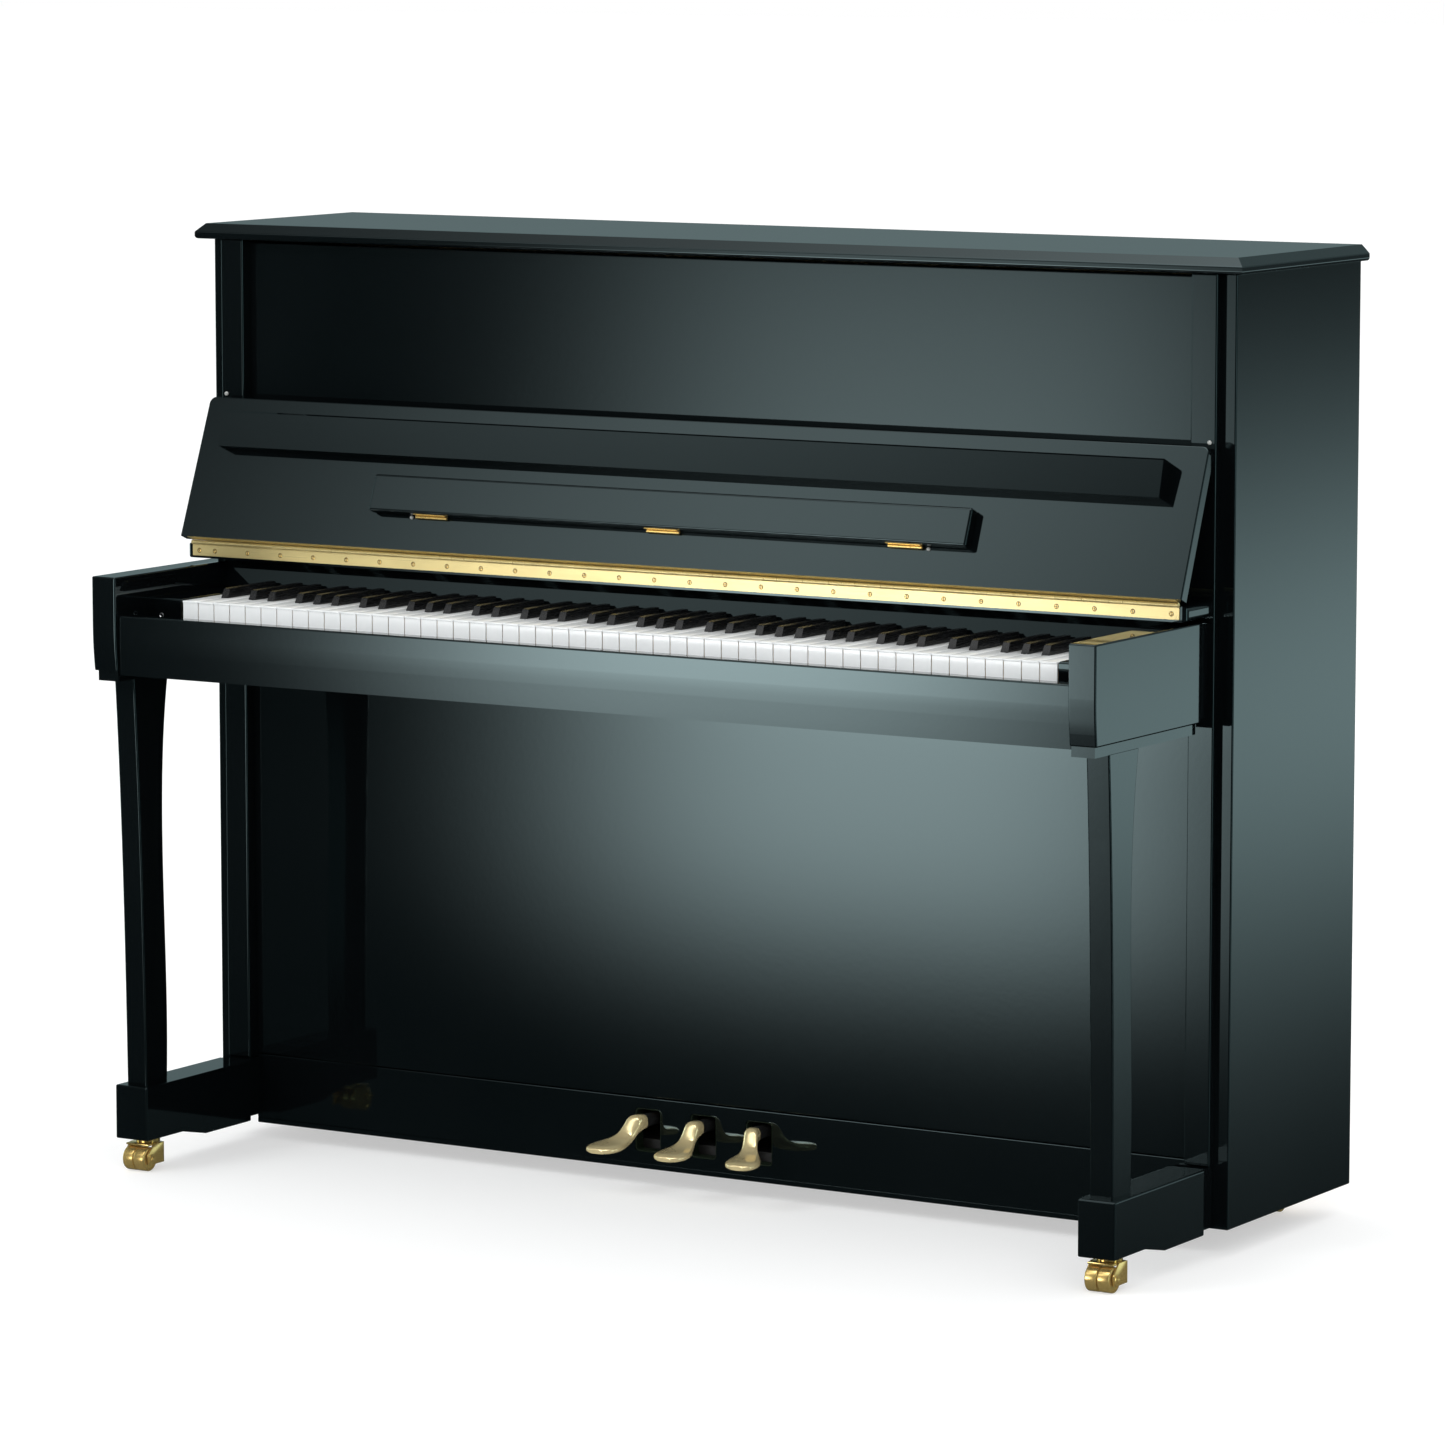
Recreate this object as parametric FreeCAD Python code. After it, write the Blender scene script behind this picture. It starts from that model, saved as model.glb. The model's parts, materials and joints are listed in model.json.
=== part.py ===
import FreeCAD, Part
import math
import os

# Upright piano, millimetres. +Z is up, +X is the treble end, -Y is the player's side.
# The origin is on the floor under the middle of the whole piano.

V = FreeCAD.Vector

# ---------------------------------------------------------------- driving dimensions
GAP = 0.3                   # clearance between pieces that move past each other

# case
CASE_HALF = 723.0           # half the width over the two side panels
SIDE_T = 36.0               # side panel thickness
SIDE_IN = CASE_HALF - SIDE_T
CASE_FRONT = -15.0          # front edge of the side panels
CASE_BACK = 311.0           # back edge of the side panels
SIDE_BOTTOM = 33.5
SIDE_TOP = 1153.7
STILE_IN = 670.5            # the upright strips each side of the front panels
STILE_OUT = 704.0
STILE_FRONT = -28.0
PANEL_HALF = 670.2
PANEL_FRONT = -12.0
PANEL_T = 20.0
EDGE_R = 2.0                # softened edge of the polished case parts

# lid
LID_HALF = 739.0
LID_FRONT = -34.7
LID_BACK = 300.0
LID_BOTTOM = 1154.0
LID_TOP = 1173.2
LID_BEVEL = 10.4
LID_AXIS_Y = 302.6
LID_AXIS_Z = 1153.85

# keyboard shelf
ARM_IN = 664.9
ARM_OUT = 700.1
ARM_FRONT = -311.0
ARM_BACK = -48.0
ARM_TOP = 752.5
ARM_BOTTOM = 635.5
BED_BOTTOM = 633.0
BED_TOP = 664.0
SLIP_FRONT = -305.0
SLIP_BACK = -285.0
SLIP_TOP = 705.0
SLIP_BOTTOM = 631.0
TOE_TOP = 109.0
LEG_TOP = 623.0
LEG_IN = 667.0
LEG_T = 30.0
RAIL_TOP = 776.0
RAIL_BOTTOM = 757.5
RAIL_FRONT = -101.6

# fallboard, drawn in its own slope axes: u runs up the board, n points at the player
FALL_TILT = 21.7            # degrees the open board leans back from vertical
FALL_AXIS_Y = -104.0
FALL_AXIS_Z = 777.5
FALL_HALF = 706.5
FALL_LENGTH = 187.0
FALL_T = 15.0
FALL_FACE = 14.5            # n of the face that the player sees
KNUCKLE_R = 2.8
HINGE_HALF = 697.0
HINGE_LEAF_T = 1.4
DESK_HALF = 422.0
DESK_U0 = 47.0
DESK_U1 = 94.0
DESK_N0 = 15.8
DESK_N1 = 30.5
DESK_AXIS_U = 45.2
DESK_AXIS_N = 17.4
LIP_HALF = 663.8

# keys
WHITE_PITCH = 23.6
WHITE_COUNT = 52
KEY_COUNT = 88
WHITE_GAP = 0.9
KEY_FRONT = -241.0
HEAD_LENGTH = 50.0
KEY_BACK = 135.0
KEY_TOP = 720.6
KEY_BOTTOM = 697.0
SHARP_TOP = 732.4
SHARP_BACK = -86.0
SHARP_W = 10.4
SHARP_GAP = 1.4             # between a white key's head and the black key behind it
BALANCE_Y = -16.0
FRONT_PIN_Y = -212.0
NATURAL_GROUPS = 3
SHARP_GROUPS = 2

# action and strung back
HAMMER_Y = 140.0
HAMMER_Z = 820.0
HAMMER_REST = 14.0          # degrees a resting hammer leans towards the player
FLANGE_RAIL = (152.0, 164.0, 792.0, 812.0)      # y and z ranges of the rail that carries the flanges
REST_RAIL = (107.0, 119.0, 868.0, 886.0)        # y and z ranges of the hammer rest rail
STRING_Y = 202.0
STRING_TOP = 1052.0
STRIKE_Z = 944.0
DAMPER_COUNT = 66
DAMPER_Y = 172.0
DAMPER_Z = 800.0
BASS_COUNT = 28
BRACKET_NOTES = (24, 60)     # the inner action brackets stand just above these notes
BRACKET_HALF = 1.4
CROSSING_NOTES = 3          # notes above the bass whose dampers stand behind slanting bass strings
STEM_BEHIND = 18.0          # how far a front caster's swivel stands behind its axle
SOUND_FRONT = 228.0
POST_FRONT = 254.0
BACK_FACE = 300.0

# pedals and casters
PEDAL_X = (-80.0, 0.0, 80.0)
PEDAL_SPLAY = (-22.0, -4.0, 18.0)   # how far each toe end stands sideways from its slot
PEDAL_AXIS_Y = 70.0
PEDAL_AXIS_Z = 85.0
ROD_Y = 156.0
WHEEL_R = 15.2
WHEEL_W = 15.4
FRONT_CASTER = (682.0, -250.0)
REAR_CASTER = (640.0, 262.0)


# ---------------------------------------------------------------- helpers
def box(x0, x1, y0, y1, z0, z1):
    return Part.makeBox(x1 - x0, y1 - y0, z1 - z0, V(x0, y0, z0))


def rounded(shape, radius, test=None):
    edges = [e for e in shape.Edges if test is None or test(e)]
    return shape.makeFillet(radius, edges)


def soft_box(x0, x1, y0, y1, z0, z1, radius=EDGE_R):
    return rounded(box(x0, x1, y0, y1, z0, z1), radius)


def rod(start, direction, radius, length):
    return Part.makeCylinder(radius, length, V(*start), V(*direction))


def tube(start, direction, outer, inner, length):
    return rod(start, direction, outer, length).cut(rod(start, direction, inner, length))


def slab_yz(points, x0, x1):
    """A prism along X from an outline of (y, z) points."""
    ring = [V(x0, y, z) for y, z in points]
    wire = Part.makePolygon(ring + ring[:1])
    return Part.Face(wire).extrude(V(x1 - x0, 0, 0))


def bellied_slab(belly, points, x0, x1):
    """A prism along X whose front is an arc through three (y, z) places and whose rest is straight."""
    start, middle, end = [V(x0, y, z) for y, z in belly]
    ring = [end] + [V(x0, y, z) for y, z in points] + [start]
    edges = [Part.Arc(start, middle, end).toShape()]
    edges += [Part.makeLine(a, b) for a, b in zip(ring, ring[1:])]
    return Part.Face(Part.Wire(edges)).extrude(V(x1 - x0, 0, 0))


def slab_xz(points, y0, y1):
    """A prism along Y from an outline of (x, z) points."""
    ring = [V(x, y0, z) for x, z in points]
    wire = Part.makePolygon(ring + ring[:1])
    return Part.Face(wire).extrude(V(0, y1 - y0, 0))


def mirrored(shape):
    return shape.mirror(V(0, 0, 0), V(1, 0, 0))


def save(name, *shapes):
    solids = [s for shape in shapes for s in shape.Solids]
    whole = solids[0] if len(solids) == 1 else Part.makeCompound(solids)
    whole.exportStep("parts/" + name + ".step")


def save_pair(name, right):
    save(name + "_right", right)
    save(name + "_left", mirrored(right))


# ---------------------------------------------------------------- case
def side_panel():
    return soft_box(SIDE_IN, CASE_HALF, CASE_FRONT, CASE_BACK, SIDE_BOTTOM, SIDE_TOP)


def stile():
    strip = box(STILE_IN, STILE_OUT, STILE_FRONT, CASE_FRONT, TOE_TOP + GAP, SIDE_TOP)
    strip = rounded(strip, EDGE_R, lambda e: e.CenterOfMass.y < STILE_FRONT + 1)
    cleat = box(STILE_IN, SIDE_IN, CASE_FRONT, 10, TOE_TOP + GAP, SIDE_TOP)
    return strip.fuse(cleat).removeSplitter()


def slotted_toe_rail():
    rail = soft_box(-PANEL_HALF, PANEL_HALF, PANEL_FRONT, PANEL_FRONT + 18, 23, 112.4, 1.2)
    for x in PEDAL_X:
        slot = box(x - 19, x + 19, PANEL_FRONT - 5, PANEL_FRONT + 30, 44, 99)
        rail = rail.cut(rounded(slot, 6, lambda e: abs(e.tangentAt(e.FirstParameter).y) > 0.9))
    groove = box(-PANEL_HALF - 1, PANEL_HALF + 1, PANEL_FRONT - 1, PANEL_FRONT + 1.5, 29, 30.2)
    return rail.cut(groove)


def knee_panel():
    return soft_box(-PANEL_HALF, PANEL_HALF, PANEL_FRONT, PANEL_FRONT + PANEL_T, 113.2, 630)


def upper_panel():
    return soft_box(-PANEL_HALF, PANEL_HALF, PANEL_FRONT, PANEL_FRONT + PANEL_T, RAIL_TOP + 1, 1150)


def bottom_board():
    return box(-SIDE_IN, SIDE_IN, 12, POST_FRONT, SIDE_BOTTOM + 0.5, 56)


def lid():
    slab = box(-LID_HALF, LID_HALF, LID_FRONT, LID_BACK, LID_BOTTOM, LID_TOP)
    top = [e for e in slab.Edges if e.CenterOfMass.z > LID_TOP - 1 and e.CenterOfMass.y < LID_BACK - 1]
    slab = slab.makeChamfer(LID_BEVEL, top)

    def nose(e):
        c = e.CenterOfMass
        outer = abs(abs(c.x) - LID_HALF) < 0.1 or abs(c.y - LID_FRONT) < 0.1
        return outer and abs(c.z - (LID_TOP - LID_BEVEL)) < 0.1

    def under(e):
        c = e.CenterOfMass
        outer = abs(abs(c.x) - LID_HALF) < 0.1 or abs(c.y - LID_FRONT) < 0.1
        return outer and abs(c.z - LID_BOTTOM) < 0.1

    slab = rounded(slab, 4.0, under)
    return rounded(slab, 3.0, nose)


def butt_leaf(x, z0, z1):
    return box(x - 40, x + 40, LID_BACK, LID_BACK + 1.4, z0, z1)


def lid_hinges():
    """Three butt hinges: leaves on the case, knuckles and pins on the lid's turning line."""
    fixed = []
    moving = []
    for x in (-520, 0, 520):
        fixed.append(butt_leaf(x, 1112, LID_AXIS_Z - 2.7))
        fixed.append(rod((x - 40, LID_AXIS_Y, LID_AXIS_Z), (1, 0, 0), 0.9, 80))
        for k in range(5):
            start = x - 40 + 16 * k + 0.2
            barrel = tube((start, LID_AXIS_Y, LID_AXIS_Z), (1, 0, 0), 2.4, 0.95, 15.6)
            (fixed if k % 2 == 0 else moving).append(barrel)
        moving.append(butt_leaf(x, LID_AXIS_Z + 2.7, LID_TOP - 3))
    return fixed, moving


# ---------------------------------------------------------------- keyboard shelf
def arm():
    belly = [(ARM_FRONT, 690), (ARM_FRONT + 0.53, 670), (ARM_FRONT + 2.1, 650)]
    outline = [(ARM_FRONT + 3.6, ARM_BOTTOM), (ARM_BACK, ARM_BOTTOM), (ARM_BACK, ARM_TOP),
               (ARM_FRONT, ARM_TOP)]
    cheek = rounded(bellied_slab(belly, outline, ARM_IN, ARM_OUT), EDGE_R)
    neck = box(ARM_IN + 1, ARM_OUT - 4, ARM_BACK - 5, STILE_FRONT, ARM_BOTTOM + 4, ARM_TOP - 3)
    plinth = box(ARM_IN + 1, ARM_OUT - 4, ARM_FRONT + 7, ARM_BACK - 10, LEG_TOP, ARM_BOTTOM)
    return cheek.fuse([neck, plinth])


def spline_edge(points):
    curve = Part.BSplineCurve()
    curve.interpolate([V(LEG_IN, y, z) for y, z in points])
    return curve.toShape()


def leg():
    front = [(-270.9, LEG_TOP), (-265, 520), (-259.5, 380), (-254, TOE_TOP)]
    rear = [(-210, TOE_TOP), (-213, 380), (-211, 520), (-198.7, LEG_TOP)]
    edges = [spline_edge(front)]
    edges.append(Part.makeLine(V(LEG_IN, front[-1][0], TOE_TOP), V(LEG_IN, rear[0][0], TOE_TOP)))
    edges.append(spline_edge(rear))
    edges.append(Part.makeLine(V(LEG_IN, rear[-1][0], LEG_TOP), V(LEG_IN, front[0][0], LEG_TOP)))
    post = Part.Face(Part.Wire(edges)).extrude(V(LEG_T, 0, 0))
    return rounded(post, EDGE_R, lambda e: e.Length > 300)


def toe():
    outline = [(-266.3, TOE_TOP), (-266.3, 41), (-189, 41), (-140, 30.7), (-43, 30.7), (-43, TOE_TOP)]
    block = rounded(slab_yz(outline, 657.9, 706.4), EDGE_R)
    tenon = box(662, 703, -48, CASE_FRONT, 36, TOE_TOP - 0.5)
    return block.fuse(tenon).removeSplitter()


def key_bed():
    front = box(-ARM_IN + 0.4, ARM_IN - 0.4, SLIP_BACK + 0.4, 10, BED_BOTTOM, BED_TOP)
    rear = box(-SIDE_IN, SIDE_IN, 10, 172, BED_BOTTOM, BED_TOP)
    bed = front.fuse(rear).removeSplitter()
    for x in PEDAL_X:
        bed = bed.cut(rod((x, ROD_Y, BED_BOTTOM - 1), (0, 0, 1), 8, BED_TOP - BED_BOTTOM + 2))
    return bed


def key_slip():
    belly = [(SLIP_FRONT, 680), (SLIP_FRONT + 0.15, 670), (SLIP_FRONT + 0.61, 660)]
    outline = [(SLIP_FRONT + 2.4, SLIP_BOTTOM), (SLIP_BACK, SLIP_BOTTOM), (SLIP_BACK, SLIP_TOP),
               (SLIP_FRONT, SLIP_TOP)]
    rail = bellied_slab(belly, outline, -ARM_IN + 0.4, ARM_IN - 0.4)
    return rounded(rail, EDGE_R, lambda e: e.Length > 1000 and e.CenterOfMass.z > SLIP_TOP - 1)


def key_blocks():
    block = box(615.2, ARM_IN - 0.3, KEY_FRONT - 0.5, -103, BED_TOP, 722)
    block = rounded(block, 3, lambda e: e.CenterOfMass.z > 721)
    return [block, mirrored(block)]


def nameboard():
    outline = [(-72, RAIL_BOTTOM), (-83, 722), (-58, 722), (-58, RAIL_BOTTOM)]
    return slab_yz(outline, -ARM_IN + 0.4, ARM_IN - 0.4)


def hinge_rail():
    rail = box(-706, 706, RAIL_FRONT, STILE_FRONT - GAP, RAIL_BOTTOM, RAIL_TOP)
    ends = rounded(rail, 6, lambda e: abs(e.CenterOfMass.x) > 705)
    rear = box(-PANEL_HALF, PANEL_HALF, STILE_FRONT - 6, PANEL_FRONT + 8, RAIL_BOTTOM, RAIL_TOP - 0.5)
    return ends.fuse(rear).removeSplitter()


# ---------------------------------------------------------------- fallboard and music desk
TILT = math.radians(FALL_TILT)


def slope(u, n):
    """A (u, n) place on the open fallboard as (y, z)."""
    y = FALL_AXIS_Y + u * math.sin(TILT) - n * math.cos(TILT)
    z = FALL_AXIS_Z + u * math.cos(TILT) + n * math.sin(TILT)
    return y, z


def slope_slab(points, x0, x1):
    return slab_yz([slope(u, n) for u, n in points], x0, x1)


def slope_box(u0, u1, n0, n1, x0, x1):
    return slope_slab([(u0, n0), (u1, n0), (u1, n1), (u0, n1)], x0, x1)


def fallboard():
    u0 = KNUCKLE_R + 0.5
    board = slope_box(u0, FALL_LENGTH, FALL_FACE - FALL_T, FALL_FACE, -FALL_HALF, FALL_HALF)
    corner = [e for e in board.Edges if e.Length < FALL_T + 1 and e.CenterOfMass.z > 900]
    board = board.makeFillet(9, corner)
    return rounded(board, 1.5, lambda e: e.CenterOfMass.z > FALL_AXIS_Z + 12)


def fallboard_lip():
    outline = [(117.5, FALL_FACE), (117.5, 34), (160.8, 39.5), (163, 38), (163, FALL_FACE)]
    lip = slope_slab(outline, -LIP_HALF, LIP_HALF)
    return lip


def hinge_leaves():
    """The continuous hinge: one leaf on the rail, one under the board, knuckles in turn."""
    count = 78
    step = 2 * HINGE_HALF / count
    leaf = box(-HINGE_HALF, HINGE_HALF, RAIL_FRONT - HINGE_LEAF_T, RAIL_FRONT, 760.5,
               FALL_AXIS_Z - KNUCKLE_R - 0.2)
    u0 = KNUCKLE_R + 0.5
    strap = slope_box(u0 - 0.4, u0, 0.4, FALL_FACE - 2, -HINGE_HALF, HINGE_HALF)
    fixed = [leaf, rod((-HINGE_HALF, FALL_AXIS_Y, FALL_AXIS_Z), (1, 0, 0), 1.1, 2 * HINGE_HALF)]
    moving = [strap]
    for k in range(count):
        start = (-HINGE_HALF + k * step + 0.2, FALL_AXIS_Y, FALL_AXIS_Z)
        knuckle = tube(start, (1, 0, 0), KNUCKLE_R, 1.15, step - 0.4)
        (fixed if k % 2 == 0 else moving).append(knuckle)
    return fixed, moving


def music_desk():
    flap = slope_box(DESK_U0, DESK_U1, DESK_N0, DESK_N1, -DESK_HALF, DESK_HALF)
    return rounded(flap, 3)


def desk_hinges():
    """Three small hinges along the bottom of the music desk, with their pins."""
    fixed = []
    moving = []
    y, z = slope(DESK_AXIS_U, DESK_AXIS_N)
    for x in (-335, 0, 335):
        fixed.append(slope_box(DESK_AXIS_U + 2.2, DESK_AXIS_U + 15, FALL_FACE, FALL_FACE + 1, x - 23, x + 23))
        fixed.append(rod((x - 23, y, z), (1, 0, 0), 0.7, 46))
        moving.append(slope_box(DESK_U0 - 0.8, DESK_U0, DESK_N0 + 4, DESK_N1 - 5, x - 23, x + 23))
        for k in range(3):
            start = (x - 23 + k * 46 / 3 + 0.2, y, z)
            barrel = tube(start, (1, 0, 0), 1.8, 0.75, 46 / 3 - 0.4)
            (moving if k == 1 else fixed).append(barrel)
    return fixed, moving


# ---------------------------------------------------------------- keyboard
SHARP_STEPS = {1: 1, 3: 3, 6: 1, 8: 3, 10: 5}       # semitone: place in its group of tails
NATURAL_STEPS = {0: 0, 2: 1, 4: 2, 5: 3, 7: 4, 9: 5, 11: 6}


def semitone(i):
    """Note 0 is the lowest A."""
    return (i + 9) % 12


def octave_start(i):
    """X of the left side of the C that opens the octave of note i."""
    octave = (i + 9) // 12
    return -WHITE_COUNT * WHITE_PITCH / 2 + (7 * octave - 5) * WHITE_PITCH


def is_sharp(i):
    return semitone(i) in SHARP_STEPS


def tail_centre(i):
    """X of the middle of a key's rear stick: tails share each group's width evenly."""
    s = semitone(i)
    if s < 5:
        return octave_start(i) + (s + 0.5) * 3 * WHITE_PITCH / 5
    return octave_start(i) + 3 * WHITE_PITCH + (s - 5 + 0.5) * 4 * WHITE_PITCH / 7


def natural_left(i):
    return octave_start(i) + NATURAL_STEPS[semitone(i)] * WHITE_PITCH


def tail_sides(i):
    left = natural_left(i) + WHITE_GAP / 2
    right = natural_left(i) + WHITE_PITCH - WHITE_GAP / 2
    if i > 0 and is_sharp(i - 1):
        left = tail_centre(i - 1) + SHARP_W / 2 + 1.0
    if i < KEY_COUNT - 1 and is_sharp(i + 1):
        right = tail_centre(i + 1) - SHARP_W / 2 - 1.0
    return left, right


def natural_key(i):
    left, right = tail_sides(i)
    x0 = natural_left(i) + WHITE_GAP / 2
    x1 = x0 + WHITE_PITCH - WHITE_GAP
    y1 = KEY_FRONT + HEAD_LENGTH
    head = box(x0, x1, KEY_FRONT, y1, KEY_BOTTOM, KEY_TOP)
    tail = box(left, right, y1 - 0.01, KEY_BACK, KEY_BOTTOM, KEY_TOP)
    return head.fuse(tail).removeSplitter()


def sharp_key(i):
    y0 = KEY_FRONT + HEAD_LENGTH + SHARP_GAP
    x = tail_centre(i)
    outline = [(y0, KEY_BOTTOM), (y0, KEY_TOP), (y0 + 6.5, SHARP_TOP), (SHARP_BACK, SHARP_TOP),
               (SHARP_BACK, KEY_TOP - 2), (KEY_BACK, KEY_TOP - 2), (KEY_BACK, KEY_BOTTOM)]
    return slab_yz(outline, x - SHARP_W / 2, x + SHARP_W / 2)


def key_pin_places(i):
    """X and Y of a key's front pin and balance pin."""
    x = tail_centre(i)
    if is_sharp(i):
        return (x, FRONT_PIN_Y + 45), (x, BALANCE_Y)
    left, right = tail_sides(i)
    return (natural_left(i) + WHITE_PITCH / 2, FRONT_PIN_Y), ((left + right) / 2, BALANCE_Y)


def mortised(key, i):
    """Cut the key's slots for its two guide pins."""
    (fx, fy), (bx, by) = key_pin_places(i)
    front = box(fx - 2.6, fx + 2.6, fy - 5, fy + 5, KEY_BOTTOM - 1, KEY_BOTTOM + 19)
    balance = box(bx - 2.4, bx + 2.4, by - 4, by + 4, KEY_BOTTOM - 1, SHARP_TOP + 1)
    return key.cut(front).cut(balance)


def lifter(i):
    """The capstan on the key's rear end and the wippen and jack that stand on it."""
    x = tail_centre(i)
    base = KEY_TOP if not is_sharp(i) else KEY_TOP - 2
    capstan = rod((x, 105, base), (0, 0, 1), 3, 728 - base)
    outline = [(97, 728), (113, 728), (113, 744), (150, 752), (150, 764), (126, 764), (125, 796),
               (119, 796), (118, 764), (80, 764), (80, 752), (97, 744)]
    return [capstan, slab_yz(outline, x - 4, x + 4)]


def key_group(notes):
    solids = []
    for i in notes:
        key = sharp_key(i) if is_sharp(i) else natural_key(i)
        solids.append(mortised(key, i))
        solids += lifter(i)
    return solids


def hammer(i):
    """Butt, shank and felt head, leaning at rest on the hammer rest rail."""
    x = tail_centre(i)
    butt = slab_yz([(-9, -10), (9, -10), (9, 14), (5, 24), (-5, 24), (-9, 14)], x - 5, x + 5)
    bore = rod((x - 6, 0, 0), (1, 0, 0), 1.3, 12)
    butt = butt.cut(bore)
    shank = rod((x, 0, 24), (0, 0, 1), 2.7, 92)
    tip = Part.Arc(V(x - 4.5, 26, 133), V(x - 4.5, 44, 124), V(x - 4.5, 26, 116)).toShape()
    back = Part.makePolygon([V(x - 4.5, 26, 116), V(x - 4.5, -12, 116), V(x - 4.5, -12, 130),
                             V(x - 4.5, 26, 133)])
    head = Part.Face(Part.Wire([tip] + back.Edges)).extrude(V(9, 0, 0))
    placed = []
    for solid in (butt, shank, head):
        solid.rotate(V(0, 0, 0), V(1, 0, 0), HAMMER_REST)
        solid.translate(V(0, HAMMER_Y, HAMMER_Z))
        placed.append(solid)
    return placed


def grouped_notes():
    """Every third natural and every second sharp make one group, so neighbours never share one."""
    naturals = [i for i in range(KEY_COUNT) if not is_sharp(i)]
    sharps = [i for i in range(KEY_COUNT) if is_sharp(i)]
    groups = {}
    for g in range(NATURAL_GROUPS):
        groups["naturals_" + "abc"[g]] = naturals[g::NATURAL_GROUPS]
    for g in range(SHARP_GROUPS):
        groups["sharps_" + "ab"[g]] = sharps[g::SHARP_GROUPS]
    return groups


def key_frame():
    """Front, balance and back rails with their felts and the guide pins."""
    rails = [box(-613, 613, -232, -150, BED_TOP, 678),
             box(-655, 655, -34, 2, BED_TOP, 694.5),
             box(-655, 655, 100, 132, BED_TOP, 693)]
    felt = [box(-613, 613, -224, -200, 678, 684), box(-613, 613, -178, -158, 678, 684),
            box(-655, 655, 102, 130, 693, 696.4)]
    pins = []
    for i in range(KEY_COUNT):
        (fx, fy), (bx, by) = key_pin_places(i)
        pins.append(rod((fx, fy, 684), (0, 0, 1), 1.8, 20))
        pins.append(rod((bx, by, 694.5), (0, 0, 1), 1.8, 28))
    return rails + felt + pins


# ---------------------------------------------------------------- action
def action_frame():
    """Brackets with the two pivot pins through them, the flange rail and the hammer rest rail."""
    places = [(tail_centre(i) + tail_centre(i + 1)) / 2 for i in BRACKET_NOTES]
    brackets = []
    solids = []
    outline = [(154, BED_TOP), (142, BED_TOP), (142, 690), (164, 790), (164, 1008), (172, 1008),
               (174, 800), (172, 780)]
    y0, y1, z0, z1 = FLANGE_RAIL
    for x in [-640] + places + [640]:
        left = x - BRACKET_HALF
        right = x + BRACKET_HALF
        brackets.append(slab_yz(outline, left, right))
        brackets.append(box(left, right, HAMMER_Y - 3, y0, HAMMER_Z - 4, HAMMER_Z + 4))
        brackets.append(box(left, right, y0 - 1, y1 + 1, z1, HAMMER_Z + 4))
        solids.append(box(left, right, REST_RAIL[1], y1, REST_RAIL[2] + 4, REST_RAIL[3] - 2))
    brackets.append(rod((-642, HAMMER_Y, HAMMER_Z), (1, 0, 0), 1.25, 1284))
    brackets.append(rod((-642, DAMPER_Y, DAMPER_Z), (1, 0, 0), 0.95, 1284))
    solids.append(brackets[0].fuse(brackets[1:]))
    solids.append(box(-645, 645, *FLANGE_RAIL))
    solids.append(box(-655, 655, *REST_RAIL))
    return solids


def damper_set():
    """Lever, wire, head and felt for every note that has a damper."""
    solids = []
    for i in range(DAMPER_COUNT):
        x = tail_centre(i)
        lever = box(x - 3.5, x + 3.5, DAMPER_Y - 3, DAMPER_Y + 5, DAMPER_Z - 20, DAMPER_Z + 12)
        lever = lever.cut(rod((x - 4, DAMPER_Y, DAMPER_Z), (1, 0, 0), 1.0, 8))
        wire = rod((x, DAMPER_Y + 2, DAMPER_Z + 12), (0, 0, 1), 0.9, 60)
        head = box(x - 4, x + 4, DAMPER_Y, DAMPER_Y + 15, DAMPER_Z + 72, DAMPER_Z + 100)
        reach = 5.4 if i < BASS_COUNT + CROSSING_NOTES else 0.9
        felt = box(x - 4, x + 4, DAMPER_Y + 15, STRING_Y - reach, DAMPER_Z + 72, DAMPER_Z + 100)
        solids += [lever, wire, head, felt]
    return solids


def celeste_rail():
    bar = box(-630, 630, 178, 196.6, 1010, 1020)
    curtain = box(-625, 625, 195, 196.6, 966, 1010)
    return [bar, curtain]


# ---------------------------------------------------------------- strung back
def speaking_length(i):
    if i < BASS_COUNT:
        return 850 - 5.0 * i
    return 790 * 2 ** (-(i - BASS_COUNT) / 14.5)


def string_slant(i):
    """Sideways run per unit of height: bass strings lean one way, the others the other way."""
    return 0.42 if i < BASS_COUNT else -0.16


def bridge_point(i):
    z = STRING_TOP - 62 - speaking_length(i)
    x = tail_centre(i) + string_slant(i) * (STRIKE_Z - z)
    return x, z


def strings_of(i):
    """The one, two or three strings of a note, from tuning pin to hitch pin."""
    count = 1 if i < 10 else 2 if i < BASS_COUNT else 3
    radius = 1.5 if i < 10 else 1.1 if i < BASS_COUNT else 0.5
    xb, zb = bridge_point(i)
    run = string_slant(i)
    forward = (2.2, 9.2) if i < BASS_COUNT else (0.0, 0.0)
    solids = []
    for k in range(count):
        x = tail_centre(i) + 3.6 * (k - (count - 1) / 2)
        top = V(x - run * (STRING_TOP - STRIKE_Z), STRING_Y - forward[0], STRING_TOP)
        low_z = zb - 24
        low = V(x + run * (STRIKE_Z - low_z), STRING_Y - forward[1], low_z)
        line = low - top
        solids.append(Part.makeCylinder(radius, line.Length, top, line))
    return solids


def bridge(first, last, step, front_y):
    """A raised wooden strip that follows the ends of the speaking lengths."""
    notes = list(range(first, last, step)) + [last]
    upper = []
    lower = []
    for i in notes:
        x, z = bridge_point(i)
        upper.append((x, z + 14))
        lower.append((x, z - 14))
    return slab_xz(upper + lower[::-1], front_y, SOUND_FRONT)


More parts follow.
